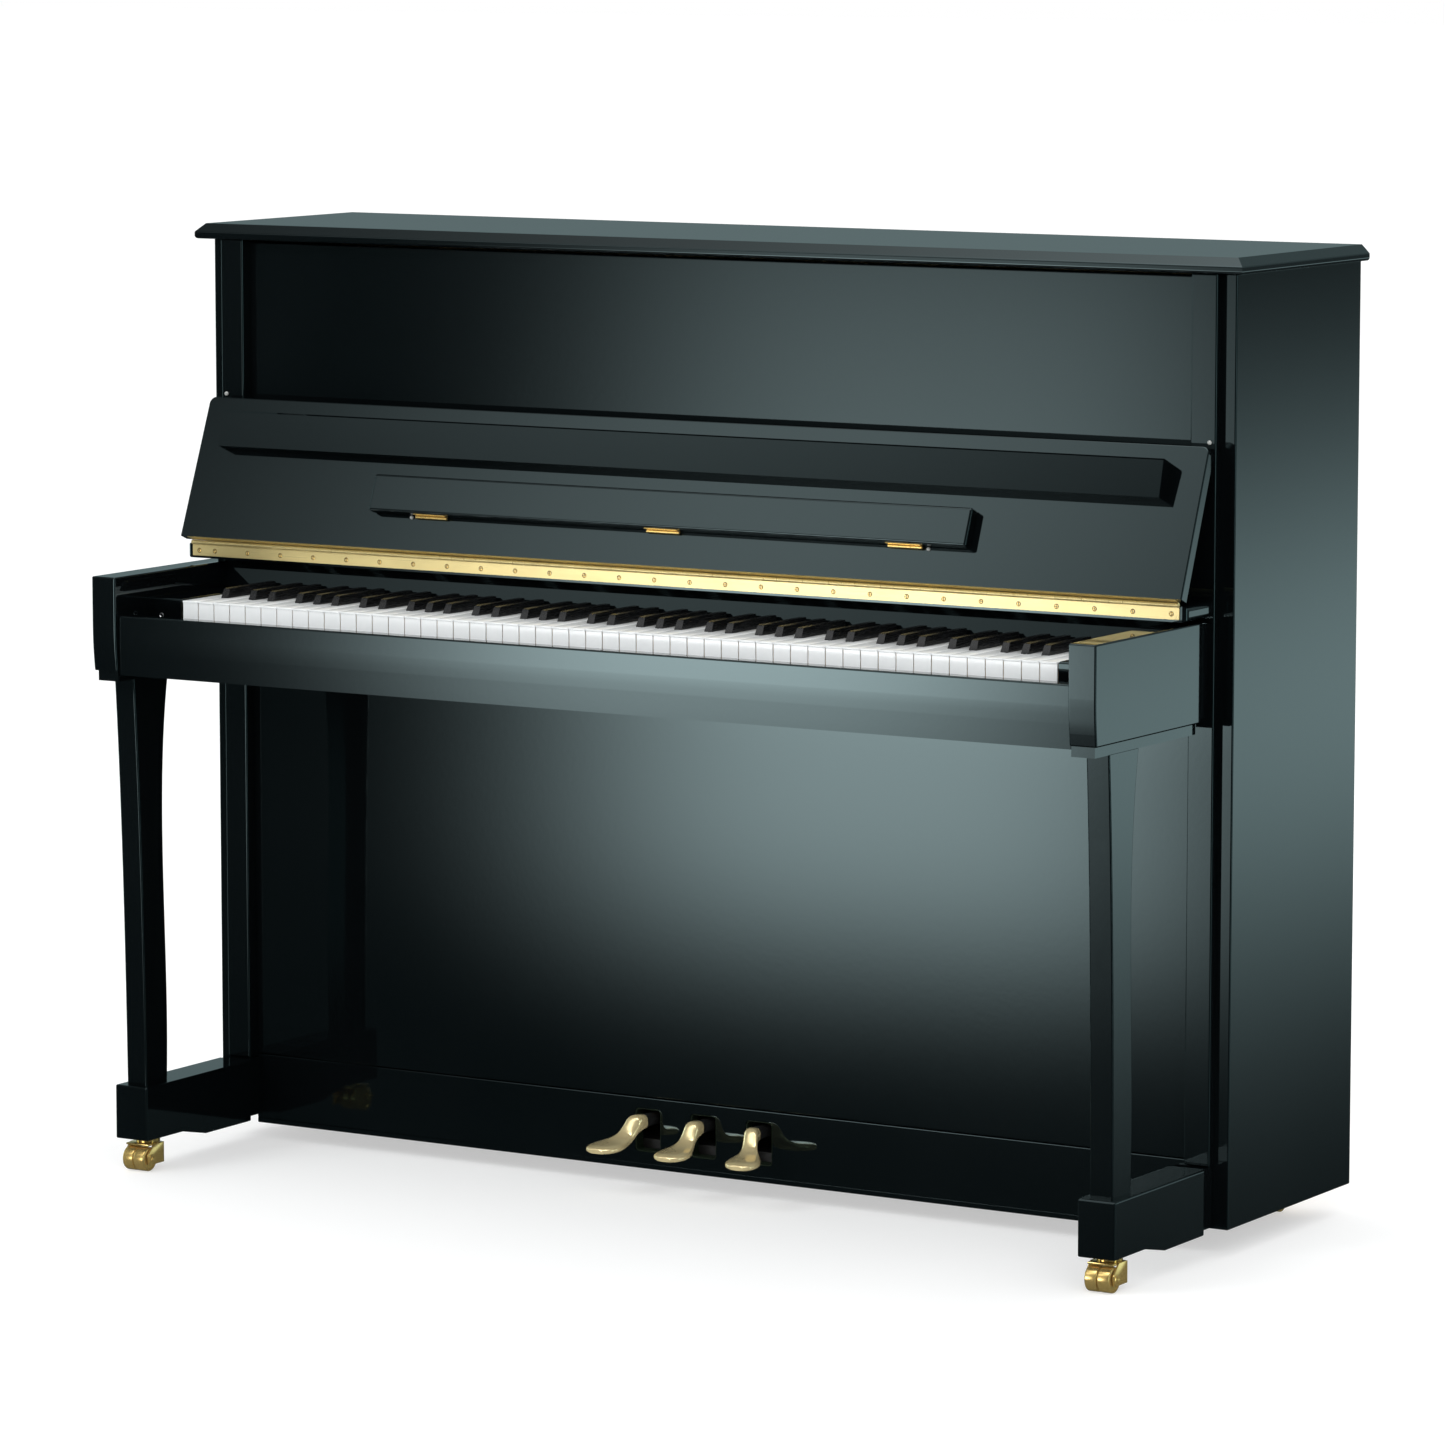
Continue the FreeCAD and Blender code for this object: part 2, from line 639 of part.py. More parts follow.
def soundboard():
    board = box(-SIDE_IN + 1, SIDE_IN - 1, SOUND_FRONT, SOUND_FRONT + 8, 62, 985)
    ribs = []
    for k in range(11):
        rib = box(-9, 9, SOUND_FRONT + 8, SOUND_FRONT + 22, -420, 420)
        rib.rotate(V(0, 0, 0), V(0, 1, 0), 45)
        rib.translate(V(-600 + 120 * k, 0, 520))
        ribs.append(rib.common(box(-620, 620, 0, 400, 112, 955)))
    bridges = [bridge(BASS_COUNT, KEY_COUNT - 1, 5, STRING_Y + 1.0),
               bridge(0, BASS_COUNT - 1, 9, STRING_Y - 6.0)]
    return [board] + [r for r in ribs if r.Volume > 1] + bridges


def back_frame():
    """Five posts, two beams, the liner that carries the soundboard, and the pin block."""
    solids = [box(-SIDE_IN, SIDE_IN, POST_FRONT, BACK_FACE, 1045, 1150),
              box(-SIDE_IN, SIDE_IN, POST_FRONT, BACK_FACE, SIDE_BOTTOM + 0.5, 118)]
    for x in (-630, -315, 0, 315, 630):
        solids.append(soft_box(x - 34, x + 34, POST_FRONT, BACK_FACE, 118, 1045, 3))
    y0 = SOUND_FRONT + 8
    solids.append(box(-SIDE_IN + 1, SIDE_IN - 1, y0, POST_FRONT, 958, 985))
    solids.append(box(-SIDE_IN + 1, SIDE_IN - 1, y0, POST_FRONT, 62, 108))
    for x in (-SIDE_IN + 1, 626):
        solids.append(box(x, x + 60, y0, POST_FRONT, 108, 958))
    solids.append(box(-SIDE_IN + 1, SIDE_IN - 1, 214, POST_FRONT, 990, 1140))
    return solids


def iron_plate():
    plate = box(-SIDE_IN + 2, SIDE_IN - 2, 206, 213.8, 64, 1136)
    window = [(-640, 985), (640, 985), (640, 860), (360, 640), (110, 310), (90, 120), (-400, 96),
              (-640, 96)]
    plate = plate.cut(slab_xz(window, 200, 220))
    plate = plate.cut(slab_xz([(130, 96), (150, 250), (370, 560), (640, 300), (640, 96)], 200, 220))
    return plate.cut(box(-662, 662, 200, 220, 1046, 1122))


def tuning_pins():
    solids = []
    for i in range(KEY_COUNT):
        count = 1 if i < 10 else 2 if i < BASS_COUNT else 3
        for k in range(count):
            x = tail_centre(i) + 3.6 * (k - (count - 1) / 2) - string_slant(i) * (STRING_TOP - STRIKE_Z)
            z = STRING_TOP + 5 + 20 * k + (0 if i % 2 else 9)
            solids.append(rod((x, 186, z), (0, 1, 0), 3.1, 28))
    return solids


# ---------------------------------------------------------------- pedals
def pedal(index):
    """A brass foot that swells at the toe, rises to the slot and runs back to its lever end."""
    x = PEDAL_X[index]
    dx = PEDAL_SPLAY[index]
    stations = [(-97, 57, 12, 3.5, dx * 1.05), (-88, 57, 20, 4.5, dx), (-72, 58.5, 21, 5, dx * 0.92),
                (-52, 62, 14, 5.5, dx * 0.62), (-36, 70, 10, 6.5, dx * 0.3), (-22, 84, 9, 8, dx * 0.08),
                (0, 85, 9, 8, 0), (ROD_Y + 10, 85, 9, 8, 0)]
    wires = []
    for y, z, half, thick, shift in stations:
        c = x + shift
        ring = [V(c - half, y, z - thick), V(c + half, y, z - thick),
                V(c + half, y, z + thick), V(c - half, y, z + thick)]
        wires.append(Part.makePolygon(ring + ring[:1]))
    body = Part.makeLoft(wires, True, True)
    return body.cut(rod((x - 20, PEDAL_AXIS_Y, PEDAL_AXIS_Z), (1, 0, 0), 3.55, 40))


def pedal_brackets():
    """Cast ears on the bottom board with the pins that the pedals turn on."""
    solids = []
    for x in PEDAL_X:
        for side in (-1, 1):
            ear = box(x + side * 15 - 3, x + side * 15 + 3, PEDAL_AXIS_Y - 12, PEDAL_AXIS_Y + 12, 56, 95)
            ear = ear.cut(rod((x + side * 15 - 4, PEDAL_AXIS_Y, PEDAL_AXIS_Z), (1, 0, 0), 3.5, 8))
            solids.append(ear)
        solids.append(rod((x - 18, PEDAL_AXIS_Y, PEDAL_AXIS_Z), (1, 0, 0), 3.5, 36))
    return solids


def pedal_rod(index):
    return rod((PEDAL_X[index], ROD_Y, 94), (0, 0, 1), 6, 636)


# ---------------------------------------------------------------- casters
def caster_wheels(x, y):
    drums = []
    for side in (-1, 1):
        x0 = x + side * 0.5 if side > 0 else x - 0.5 - WHEEL_W
        drum = tube((x0, y, WHEEL_R), (1, 0, 0), WHEEL_R, 3.05, WHEEL_W)
        drums.append(rounded(drum, 1.5, lambda e: e.Length > 80))
    hub = tube((x - 0.5, y, WHEEL_R), (1, 0, 0), 7, 3.05, 1.0)
    return drums[0].fuse([drums[1], hub])


def caster_fork(x, y, top, trail):
    """Cheeks with bosses, bridge plate and axle; the swivel stands trail mm behind the axle."""
    half = WHEEL_W + 1.3
    outline = [(y - 6, WHEEL_R - 7), (y + trail + 8, WHEEL_R - 7), (y + trail + 8, top), (y + 6, top),
               (y - 8, WHEEL_R + 6)]
    solids = []
    for side in (-1, 1):
        x0 = x + half if side > 0 else x - half - 2.2
        solids.append(slab_yz(outline, x0, x0 + 2.2))
    bridge_plate = box(x - half, x + half, y - 5.5, y + trail + 8, top - 2.5, top)
    axle = rod((x - half - 5, y, WHEEL_R), (1, 0, 0), 3.0, 2 * half + 10)
    bosses = [rod((x0, y, WHEEL_R), (1, 0, 0), 6.5, 4.0) for x0 in (x - half - 4, x + half)]
    return solids[0].fuse([solids[1], bridge_plate, axle] + bosses)


def caster_mounts():
    """Plates under the toes and the beam, and the fixed rear brackets with their axles."""
    solids = []
    x, y = FRONT_CASTER
    for side in (-1, 1):
        solids.append(rod((side * x, y + STEM_BEHIND, 34.6), (0, 0, 1), 15, 6.4))
        rx = side * REAR_CASTER[0]
        ry = REAR_CASTER[1]
        half = WHEEL_W + 1.3
        for cheek in (-1, 1):
            x0 = rx + half if cheek > 0 else rx - half - 2.2
            solids.append(box(x0, x0 + 2.2, ry - 10, ry + 10, WHEEL_R - 6, 32))
        solids.append(box(rx - half - 6, rx + half + 6, ry - 22, ry + 22, 32, SIDE_BOTTOM + 0.5))
        solids.append(rod((rx - half, ry, WHEEL_R), (1, 0, 0), 3.0, 2 * half))
    return solids


# ---------------------------------------------------------------- writing the parts
def write_case():
    save_pair("side_panel", side_panel())
    save_pair("arm", arm())
    save_pair("leg", leg())
    save_pair("toe", toe())
    right = stile()
    save("stiles", right, mirrored(right))
    save("toe_rail", slotted_toe_rail())
    save("knee_panel", knee_panel())
    save("upper_panel", upper_panel())
    save("bottom_board", bottom_board())
    save("key_bed", key_bed())
    save("key_slip", key_slip())
    save("key_blocks", *key_blocks())
    save("nameboard", nameboard())
    save("hinge_rail", hinge_rail())
    save("lid", lid())
    fixed, moving = lid_hinges()
    save("lid_hinges_case", *fixed)
    save("lid_hinges_lid", *moving)


def write_fallboard():
    save("fallboard", fallboard())
    save("fallboard_lip", fallboard_lip())
    fixed, moving = hinge_leaves()
    save("fallboard_hinge_rail_leaf", *fixed)
    save("fallboard_hinge_board_leaf", *moving)
    save("music_desk", music_desk())
    fixed, moving = desk_hinges()
    save("desk_hinges", *fixed)
    save("desk_hinge_leaves", *moving)


def write_keyboard():
    for name, notes in grouped_notes().items():
        save(name, *key_group(notes))
        save("hammers_" + name, *[s for i in notes for s in hammer(i)])
    save("key_frame", *key_frame())


def write_inside():
    save("action_frame", *action_frame())
    save("dampers", *damper_set())
    save("celeste_rail", *celeste_rail())
    save("strings_and_tuning_pins", *[s for i in range(KEY_COUNT) for s in strings_of(i)], *tuning_pins())
    save("soundboard", *soundboard())
    save("back_frame", *back_frame())
    save("iron_plate", iron_plate())


def write_pedals_and_casters():
    for index, name in enumerate(("left", "middle", "right")):
        save("pedal_" + name, pedal(index))
        save("pedal_rod_" + name, pedal_rod(index))
    save("pedal_brackets", *pedal_brackets())
    save_pair("front_caster_fork", caster_fork(*FRONT_CASTER, 34.3, STEM_BEHIND))
    save_pair("front_caster_wheels", caster_wheels(*FRONT_CASTER))
    save_pair("rear_caster_wheels", caster_wheels(*REAR_CASTER))
    save("caster_mounts", *caster_mounts())


os.makedirs("parts", exist_ok=True)
write_case()
write_fallboard()
write_keyboard()
write_inside()
write_pedals_and_casters()
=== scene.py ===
import json
import math

import bmesh
import bpy
from mathutils import Matrix, Vector


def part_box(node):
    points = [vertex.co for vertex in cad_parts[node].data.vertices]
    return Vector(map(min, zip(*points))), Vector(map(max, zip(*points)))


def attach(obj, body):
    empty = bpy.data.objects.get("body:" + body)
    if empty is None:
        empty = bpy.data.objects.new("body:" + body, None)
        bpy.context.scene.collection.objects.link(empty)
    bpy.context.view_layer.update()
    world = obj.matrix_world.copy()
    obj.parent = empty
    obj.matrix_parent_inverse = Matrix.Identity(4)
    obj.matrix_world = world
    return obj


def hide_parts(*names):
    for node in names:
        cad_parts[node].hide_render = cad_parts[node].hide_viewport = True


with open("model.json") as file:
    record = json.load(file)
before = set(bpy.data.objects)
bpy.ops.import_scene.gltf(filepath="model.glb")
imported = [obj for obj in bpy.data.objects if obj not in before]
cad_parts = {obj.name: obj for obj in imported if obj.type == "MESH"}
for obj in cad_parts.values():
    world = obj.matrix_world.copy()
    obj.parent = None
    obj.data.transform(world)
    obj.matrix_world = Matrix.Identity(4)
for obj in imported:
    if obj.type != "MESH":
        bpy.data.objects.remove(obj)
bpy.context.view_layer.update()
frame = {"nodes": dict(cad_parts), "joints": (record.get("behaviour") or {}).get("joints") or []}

# The looks of an upright piano, in metres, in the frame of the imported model:
# +Z is up, +X is the treble end, -Y is the player's side, and the floor is at z = 0.

MM = 0.001

NATURALS = ("naturals_a", "naturals_b", "naturals_c")
SHARPS = ("sharps_a", "sharps_b")
PEDALS = ("pedal_left", "pedal_middle", "pedal_right")


# ---------------------------------------------------------------- material helpers
class Shader:
    """A new material with one Principled shader, and short ways to add nodes to it."""

    def __init__(self, name):
        self.material = bpy.data.materials.new(name)
        self.material.use_nodes = True
        self.tree = self.material.node_tree
        self.tree.nodes.clear()
        self.output = self.add("ShaderNodeOutputMaterial")
        self.surface = self.add("ShaderNodeBsdfPrincipled")
        self.link(self.surface.outputs["BSDF"], self.output.inputs["Surface"])
        self.place = self.add("ShaderNodeTexCoord").outputs["Object"]

    def add(self, kind, **settings):
        node = self.tree.nodes.new(kind)
        for key, value in settings.items():
            setattr(node, key, value)
        return node

    def link(self, source, target):
        self.tree.links.new(source, target)

    def set(self, **values):
        """Constant values on the shader's own sockets; underscores stand for spaces."""
        for key, value in values.items():
            self.surface.inputs[key.replace("_", " ")].default_value = value

    def turned(self, angle):
        """Turns the pattern about the front-to-back axis."""
        node = self.add("ShaderNodeVectorRotate", rotation_type="Y_AXIS")
        node.inputs["Angle"].default_value = math.radians(angle)
        self.link(self.place, node.inputs["Vector"])
        self.place = node.outputs["Vector"]

    def stretched(self, scale):
        mapping = self.add("ShaderNodeMapping")
        mapping.inputs["Scale"].default_value = scale
        self.link(self.place, mapping.inputs["Vector"])
        return mapping.outputs["Vector"]

    def noise(self, scale, detail=3.0, stretch=None, distortion=0.0):
        node = self.add("ShaderNodeTexNoise")
        node.inputs["Scale"].default_value = scale
        node.inputs["Detail"].default_value = detail
        node.inputs["Distortion"].default_value = distortion
        self.link(self.stretched(stretch) if stretch else self.place, node.inputs["Vector"])
        return node.outputs["Fac"]

    def math(self, operation, a, b=None):
        node = self.add("ShaderNodeMath", operation=operation)
        for socket, value in zip(node.inputs, (a, b)):
            if isinstance(value, bpy.types.NodeSocket):
                self.link(value, socket)
            elif value is not None:
                socket.default_value = value
        return node.outputs["Value"]

    def ramp(self, source, stops):
        """Colours at places along 0 to 1."""
        node = self.add("ShaderNodeValToRGB")
        elements = node.color_ramp.elements
        while len(elements) < len(stops):
            elements.new(0.5)
        for element, (place, colour) in zip(elements, stops):
            element.position = place
            element.color = (*colour, 1.0)
        self.link(source, node.inputs["Fac"])
        return node.outputs["Color"]

    def span(self, source, low, high):
        """Spreads a 0.3 to 0.7 noise over low to high."""
        node = self.add("ShaderNodeMapRange")
        node.inputs["From Min"].default_value = 0.3
        node.inputs["From Max"].default_value = 0.7
        node.inputs["To Min"].default_value = low
        node.inputs["To Max"].default_value = high
        self.link(source, node.inputs["Value"])
        return node.outputs["Result"]

    def blend(self, factor, a, b):
        """Colour a where the factor is 0 and b where it is 1."""
        node = self.add("ShaderNodeMix", data_type="RGBA")
        self.link(factor, node.inputs["Factor"])
        self.link(a, node.inputs["A"])
        self.link(b, node.inputs["B"])
        return node.outputs["Result"]

    def colour(self, source):
        self.link(source, self.surface.inputs["Base Color"])

    def roughness(self, source):
        self.link(source, self.surface.inputs["Roughness"])

    def bump(self, height, strength, distance):
        node = self.add("ShaderNodeBump")
        node.inputs["Strength"].default_value = strength
        node.inputs["Distance"].default_value = distance
        self.link(height, node.inputs["Height"])
        self.link(node.outputs["Normal"], self.surface.inputs["Normal"])


def black_polish():
    """Polished polyester: near black, mirror smooth, with a faint ripple in the lacquer."""
    s = Shader("black_polish")
    cloud = s.noise(2.5, 2.0)
    s.colour(s.ramp(cloud, [(0.3, (0.0010, 0.0015, 0.0018)), (0.7, (0.0022, 0.003, 0.0034))]))
    s.roughness(s.span(s.noise(45.0, 5.0), 0.028, 0.05))
    s.bump(s.noise(140.0, 1.0), 0.012, 0.0006)
    s.set(Specular_Tint=(0.71, 0.97, 1.0, 1.0), IOR=1.5)
    return s.material


def brass(name, low, high, streaks=None, metal=0.62, tint=(0.78, 0.63, 0.30), coat=0.5):
    """Lacquered brass; streaks gives the direction in which it was brushed."""
    s = Shader(name)
    tone = s.noise(18.0, 3.0)
    shaded = tuple(c * 0.92 for c in tint)
    lit = tuple(c * 1.06 for c in tint)
    s.colour(s.ramp(tone, [(0.3, shaded), (0.5, tint), (0.75, lit)]))
    grain = s.noise(1.0, 4.0, streaks) if streaks else s.noise(260.0, 4.0)
    s.roughness(s.span(grain, low, high))
    s.bump(grain, 0.012, 0.0002)
    s.set(Metallic=metal, Specular_Tint=(1.0, 0.86, 0.5, 1.0), Coat_Weight=coat, Coat_Roughness=0.05)
    return s.material


def white_key():
    """White acrylic with a soft gloss and the faintest cloudiness."""
    s = Shader("white_key_top")
    s.colour(s.ramp(s.noise(60.0, 3.0), [(0.3, (0.93, 0.95, 0.955)), (0.7, (0.965, 0.98, 0.985))]))
    s.roughness(s.span(s.noise(220.0, 3.0), 0.13, 0.22))
    s.bump(s.noise(500.0, 2.0), 0.03, 0.0002)
    s.set(Coat_Weight=0.25, Coat_Roughness=0.08)
    return s.material


def black_key():
    """Black satin key tops with a fine lengthwise grain."""
    s = Shader("black_key_top")
    grain = s.noise(1.0, 4.0, (900.0, 40.0, 900.0))
    s.colour(s.ramp(grain, [(0.3, (0.003, 0.0032, 0.0035)), (0.7, (0.008, 0.0085, 0.009))]))
    s.roughness(s.span(grain, 0.2, 0.32))
    s.bump(grain, 0.08, 0.0002)
    s.set(Specular_IOR_Level=0.4)
    return s.material


def grain(s, stretch, rings):
    """Long lines that drift, with fine pores between them."""
    drift = s.noise(1.0, 3.0, tuple(v * 0.12 for v in stretch), 0.6)
    lines = s.noise(1.0, 6.0, stretch, rings)
    return s.math("ADD", s.math("MULTIPLY", lines, 0.7), s.math("MULTIPLY", drift, 0.3))


def wooden(s, figure, light, dark, rough=(0.45, 0.62)):
    """Colour, sheen and relief from a figure of 0 to 1."""
    pale = tuple(c * 1.12 for c in light)
    s.colour(s.ramp(figure, [(0.36, dark), (0.5, light), (0.66, pale)]))
    s.roughness(s.span(figure, *rough))
    s.bump(figure, 0.18, 0.0004)
    return s.material


def wood(name, light, dark, stretch, rings=0.35, turn=0.0):
    """Bare wood; stretch is small along the grain, and turn leans the grain to one side."""
    s = Shader(name)
    if turn:
        s.turned(turn)
    return wooden(s, grain(s, stretch, rings), light, dark)


def back_frame_wood():
    """Upright grain in the posts, and level grain in the beams above and below them."""
    s = Shader("post_wood")
    lo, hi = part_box("back_frame")
    axes = s.add("ShaderNodeSeparateXYZ")
    s.link(s.place, axes.inputs["Vector"])
    upright = grain(s, (120.0, 120.0, 5.0), 0.5)
    level = grain(s, (5.0, 120.0, 120.0), 0.5)
    above = s.math("GREATER_THAN", axes.outputs["Z"], hi.z - UPPER_BEAM)
    below = s.math("LESS_THAN", axes.outputs["Z"], lo.z + LOWER_BEAM)
    in_beam = s.math("MAXIMUM", above, below)
    figure = s.math("ADD", s.math("MULTIPLY", level, in_beam),
                    s.math("MULTIPLY", upright, s.math("SUBTRACT", 1.0, in_beam)))
    return wooden(s, figure, (0.66, 0.49, 0.29), (0.48, 0.32, 0.16))


def felt(name, colour, sheen=0.15):
    """Matted wool with loose fibres."""
    s = Shader(name)
    fibres = s.noise(1400.0, 6.0)
    s.colour(s.ramp(fibres, [(0.3, tuple(c * 0.7 for c in colour)), (0.7, colour)]))
    s.roughness(s.span(s.noise(300.0, 2.0), 0.85, 1.0))
    s.bump(fibres, 0.6, 0.0008)
    s.set(Sheen_Weight=sheen, Sheen_Roughness=0.5)
    return s.material


def gold_plate():
    """Cast iron under bronze-gold paint: the sand casting's grain shows through."""
    s = Shader("gold_painted_iron")
    cast = s.noise(420.0, 5.0)
    s.colour(s.ramp(s.noise(9.0, 4.0), [(0.3, (0.36, 0.22, 0.06)), (0.7, (0.52, 0.34, 0.11))]))
    s.roughness(s.span(cast, 0.34, 0.5))
    s.bump(cast, 0.4, 0.0012)
    s.set(Metallic=0.55)
    return s.material


def strings_and_pins():
    """Steel treble wires and tuning pins, with copper on the wound bass strings in front."""
    s = Shader("strings_and_pins")
    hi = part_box("celeste_rail")[1]
    axes = s.add("ShaderNodeSeparateXYZ")
    s.link(s.place, axes.inputs["Vector"])
    in_front = s.math("LESS_THAN", axes.outputs["Y"], hi.y + 4.6 * MM)
    below_pins = s.math("LESS_THAN", axes.outputs["Z"], hi.z + 32 * MM)
    wound = s.math("MULTIPLY", in_front, below_pins)
    winding = s.noise(1.0, 3.0, (300.0, 300.0, 1500.0))
    steel = s.ramp(winding, [(0.3, (0.42, 0.43, 0.45)), (0.7, (0.66, 0.67, 0.69))])
    copper = s.ramp(winding, [(0.3, (0.50, 0.22, 0.11)), (0.7, (0.83, 0.43, 0.25))])
    s.colour(s.blend(wound, steel, copper))
    s.roughness(s.span(winding, 0.22, 0.4))
    s.bump(winding, 0.15, 0.0003)
    s.set(Metallic=1.0)
    return s.material


def steel():
    """Plain steel, brushed across."""
    s = Shader("plain_steel")
    brushed = s.noise(1.0, 4.0, (60.0, 900.0, 900.0))
    s.colour(s.ramp(brushed, [(0.3, (0.42, 0.43, 0.44)), (0.7, (0.62, 0.62, 0.63))]))
    s.roughness(s.span(brushed, 0.25, 0.42))
    s.bump(brushed, 0.08, 0.0002)
    s.set(Metallic=1.0)
    return s.material


def black_iron():
    """Cast iron under brushed black paint."""
    s = Shader("black_painted_iron")
    cast = s.noise(700.0, 5.0)
    s.colour(s.ramp(cast, [(0.3, (0.006, 0.006, 0.006)), (0.7, (0.014, 0.014, 0.014))]))
    s.roughness(s.span(cast, 0.35, 0.55))
    s.bump(cast, 0.3, 0.0006)
    return s.material


def black_board():
    """Board under thin black paint, with the wood's grain showing."""
    s = Shader("black_painted_board")
    grain = s.noise(1.0, 5.0, (9.0, 260.0, 260.0), 0.4)
    s.colour(s.ramp(grain, [(0.3, (0.008, 0.008, 0.008)), (0.7, (0.02, 0.019, 0.018))]))
    s.roughness(s.span(grain, 0.5, 0.7))
    s.bump(grain, 0.25, 0.0005)
    return s.material


def rubber():
    """Pale grey rubber, slightly rough."""
    s = Shader("grey_rubber")
    grain = s.noise(600.0, 4.0)
    s.colour(s.ramp(grain, [(0.3, (0.30, 0.31, 0.30)), (0.7, (0.44, 0.45, 0.43))]))
    s.roughness(s.span(grain, 0.45, 0.65))
    s.bump(grain, 0.2, 0.0003)
    return s.material


def pale_floor():
    """A white studio floor, lit from within so that the shadow on it stays soft and light."""
    s = Shader("pale_floor")
    s.colour(s.ramp(s.noise(1.5, 3.0), [(0.3, (0.53, 0.53, 0.53)), (0.7, (0.55, 0.55, 0.55))]))
    s.roughness(s.span(s.noise(8.0, 3.0), 0.8, 0.95))
    s.set(Specular_IOR_Level=0.1, Emission_Color=(1.0, 1.0, 1.0, 1.0), Emission_Strength=0.5)
    return s.material


POLISH = black_polish()
CAST_BRASS = (0.80, 0.56, 0.19)
BRASS = brass("polished_brass", 0.12, 0.18, None, 0.78, CAST_BRASS)
DRUM_BRASS = brass("turned_brass", 0.18, 0.26, (900.0, 20.0, 20.0), 0.78, CAST_BRASS)
HINGE_BRASS = brass("brushed_brass", 0.27, 0.31, (6.0, 700.0, 700.0), 0.62, (0.66, 0.54, 0.25), 0.15)
# partly painted light: the pedals' brass is paler and brighter than the other brass, standing in for the
# strong front light on them
PEDAL_BRASS = brass("pedal_brass", 0.08, 0.14, None, 0.55, (0.95, 0.78, 0.42), 1.0)
# painted shade: a dark brass laid in the screws' countersinks and slots, where shade falls
SINK_SHADE_BRASS = brass("painted_sink_shade", 0.4, 0.6, None, 0.5, (0.14, 0.10, 0.04))
WHITE = white_key()
BLACK = black_key()
KEY_WOOD = wood("key_wood", (0.62, 0.44, 0.25), (0.46, 0.30, 0.15), (420.0, 9.0, 420.0))
SPRUCE = wood("soundboard_spruce", (0.72, 0.53, 0.31), (0.58, 0.39, 0.20), (190.0, 190.0, 5.0), 0.2, 45.0)
UPPER_BEAM = 105 * MM
LOWER_BEAM = 84 * MM
POST_WOOD = back_frame_wood()
BEECH = wood("beech", (0.60, 0.40, 0.22), (0.42, 0.25, 0.12), (6.0, 260.0, 260.0))
DOWEL = wood("dowel_wood", (0.66, 0.50, 0.30), (0.50, 0.34, 0.18), (300.0, 300.0, 8.0))
HAMMER_FELT = felt("white_felt", (0.84, 0.80, 0.70))
GREEN_FELT = felt("green_felt", (0.003, 0.012, 0.002), 0.0)
STEEL = steel()
BLACK_IRON = black_iron()
BLACK_BOARD = black_board()
RUBBER = rubber()


# ---------------------------------------------------------------- mesh helpers
def piece(name, bm, body, material, angle=32.0):
    """Turns a bmesh into a piece that rides on a body, smooth except at sharp edges."""
    bmesh.ops.recalc_face_normals(bm, faces=bm.faces)
    mesh = bpy.data.meshes.new(name)
    bm.to_mesh(mesh)
    bm.free()
    mesh.polygons.foreach_set("use_smooth", [True] * len(mesh.polygons))
    mesh.set_sharp_from_angle(angle=math.radians(angle))
    mesh.materials.append(material)
    obj = bpy.data.objects.new(name, mesh)
    bpy.context.scene.collection.objects.link(obj)
    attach(obj, body)
    return obj


def prism(bm, outline, axis, start, end, bevel=0.0, segments=2):
    """An outline swept along an axis. The outline's pairs are the other two axes in x, y, z order."""
    def at(a, b, c):
        return {"x": (c, a, b), "y": (a, c, b), "z": (a, b, c)}[axis]

    count = len(outline)
    near = [bm.verts.new(at(a, b, start)) for a, b in outline]
    far = [bm.verts.new(at(a, b, end)) for a, b in outline]
    faces = [bm.faces.new(near), bm.faces.new(far[::-1])]
    for k in range(count):
        j = (k + 1) % count
        faces.append(bm.faces.new((near[k], far[k], far[j], near[j])))
    if bevel:
        edges = list({e for f in faces for e in f.edges})
        bmesh.ops.bevel(bm, geom=edges, offset=bevel, segments=segments, profile=0.6,
                        affect="EDGES", clamp_overlap=True)


def block(bm, lo, hi, bevel=0.0, segments=2):
    prism(bm, [(lo[0], lo[1]), (hi[0], lo[1]), (hi[0], hi[1]), (lo[0], hi[1])], "z", lo[2], hi[2],
          bevel, segments)


def in_mm(outline):
    return [(a * MM, b * MM) for a, b in outline]


def arc(centre, radius, start, end, steps):
    """Points on a circle between two angles in degrees."""
    angles = [math.radians(start + (end - start) * k / steps) for k in range(steps + 1)]
    return [(centre[0] + radius * math.cos(a), centre[1] + radius * math.sin(a)) for a in angles]


def lathe(bm, profile, centre, direction, steps=32):
    """Turns a list of (distance along the axis, radius) about an axis; end radii of 0 close it."""
    turn = Vector(direction).to_track_quat("Z", "Y").to_matrix()
    centre = Vector(centre)
    rings = []
    for along, radius in profile:
        if radius == 0.0:
            rings.append([bm.verts.new(centre + turn @ Vector((0, 0, along)))])
            continue
        ring = []
        for k in range(steps):
            a = 2 * math.pi * k / steps
            offset = Vector((radius * math.cos(a), radius * math.sin(a), along))
            ring.append(bm.verts.new(centre + turn @ offset))
        rings.append(ring)
    for lower, upper in zip(rings, rings[1:]):
        for k in range(steps):
            j = (k + 1) % steps
            corners = [lower[k % len(lower)], lower[j % len(lower)]]
            corners += [upper[j % len(upper)], upper[k % len(upper)]]
            corners = list(dict.fromkeys(corners))
            if len(corners) > 2:
                bm.faces.new(corners)


def loft(bm, rings):
    """Joins rings of equal length and closes both ends."""
    made = [[bm.verts.new(p) for p in ring] for ring in rings]
    count = len(made[0])
    for lower, upper in zip(made, made[1:]):
        for k in range(count):
            j = (k + 1) % count
            bm.faces.new((lower[k], lower[j], upper[j], upper[k]))
    bm.faces.new(made[0][::-1])
    bm.faces.new(made[-1])


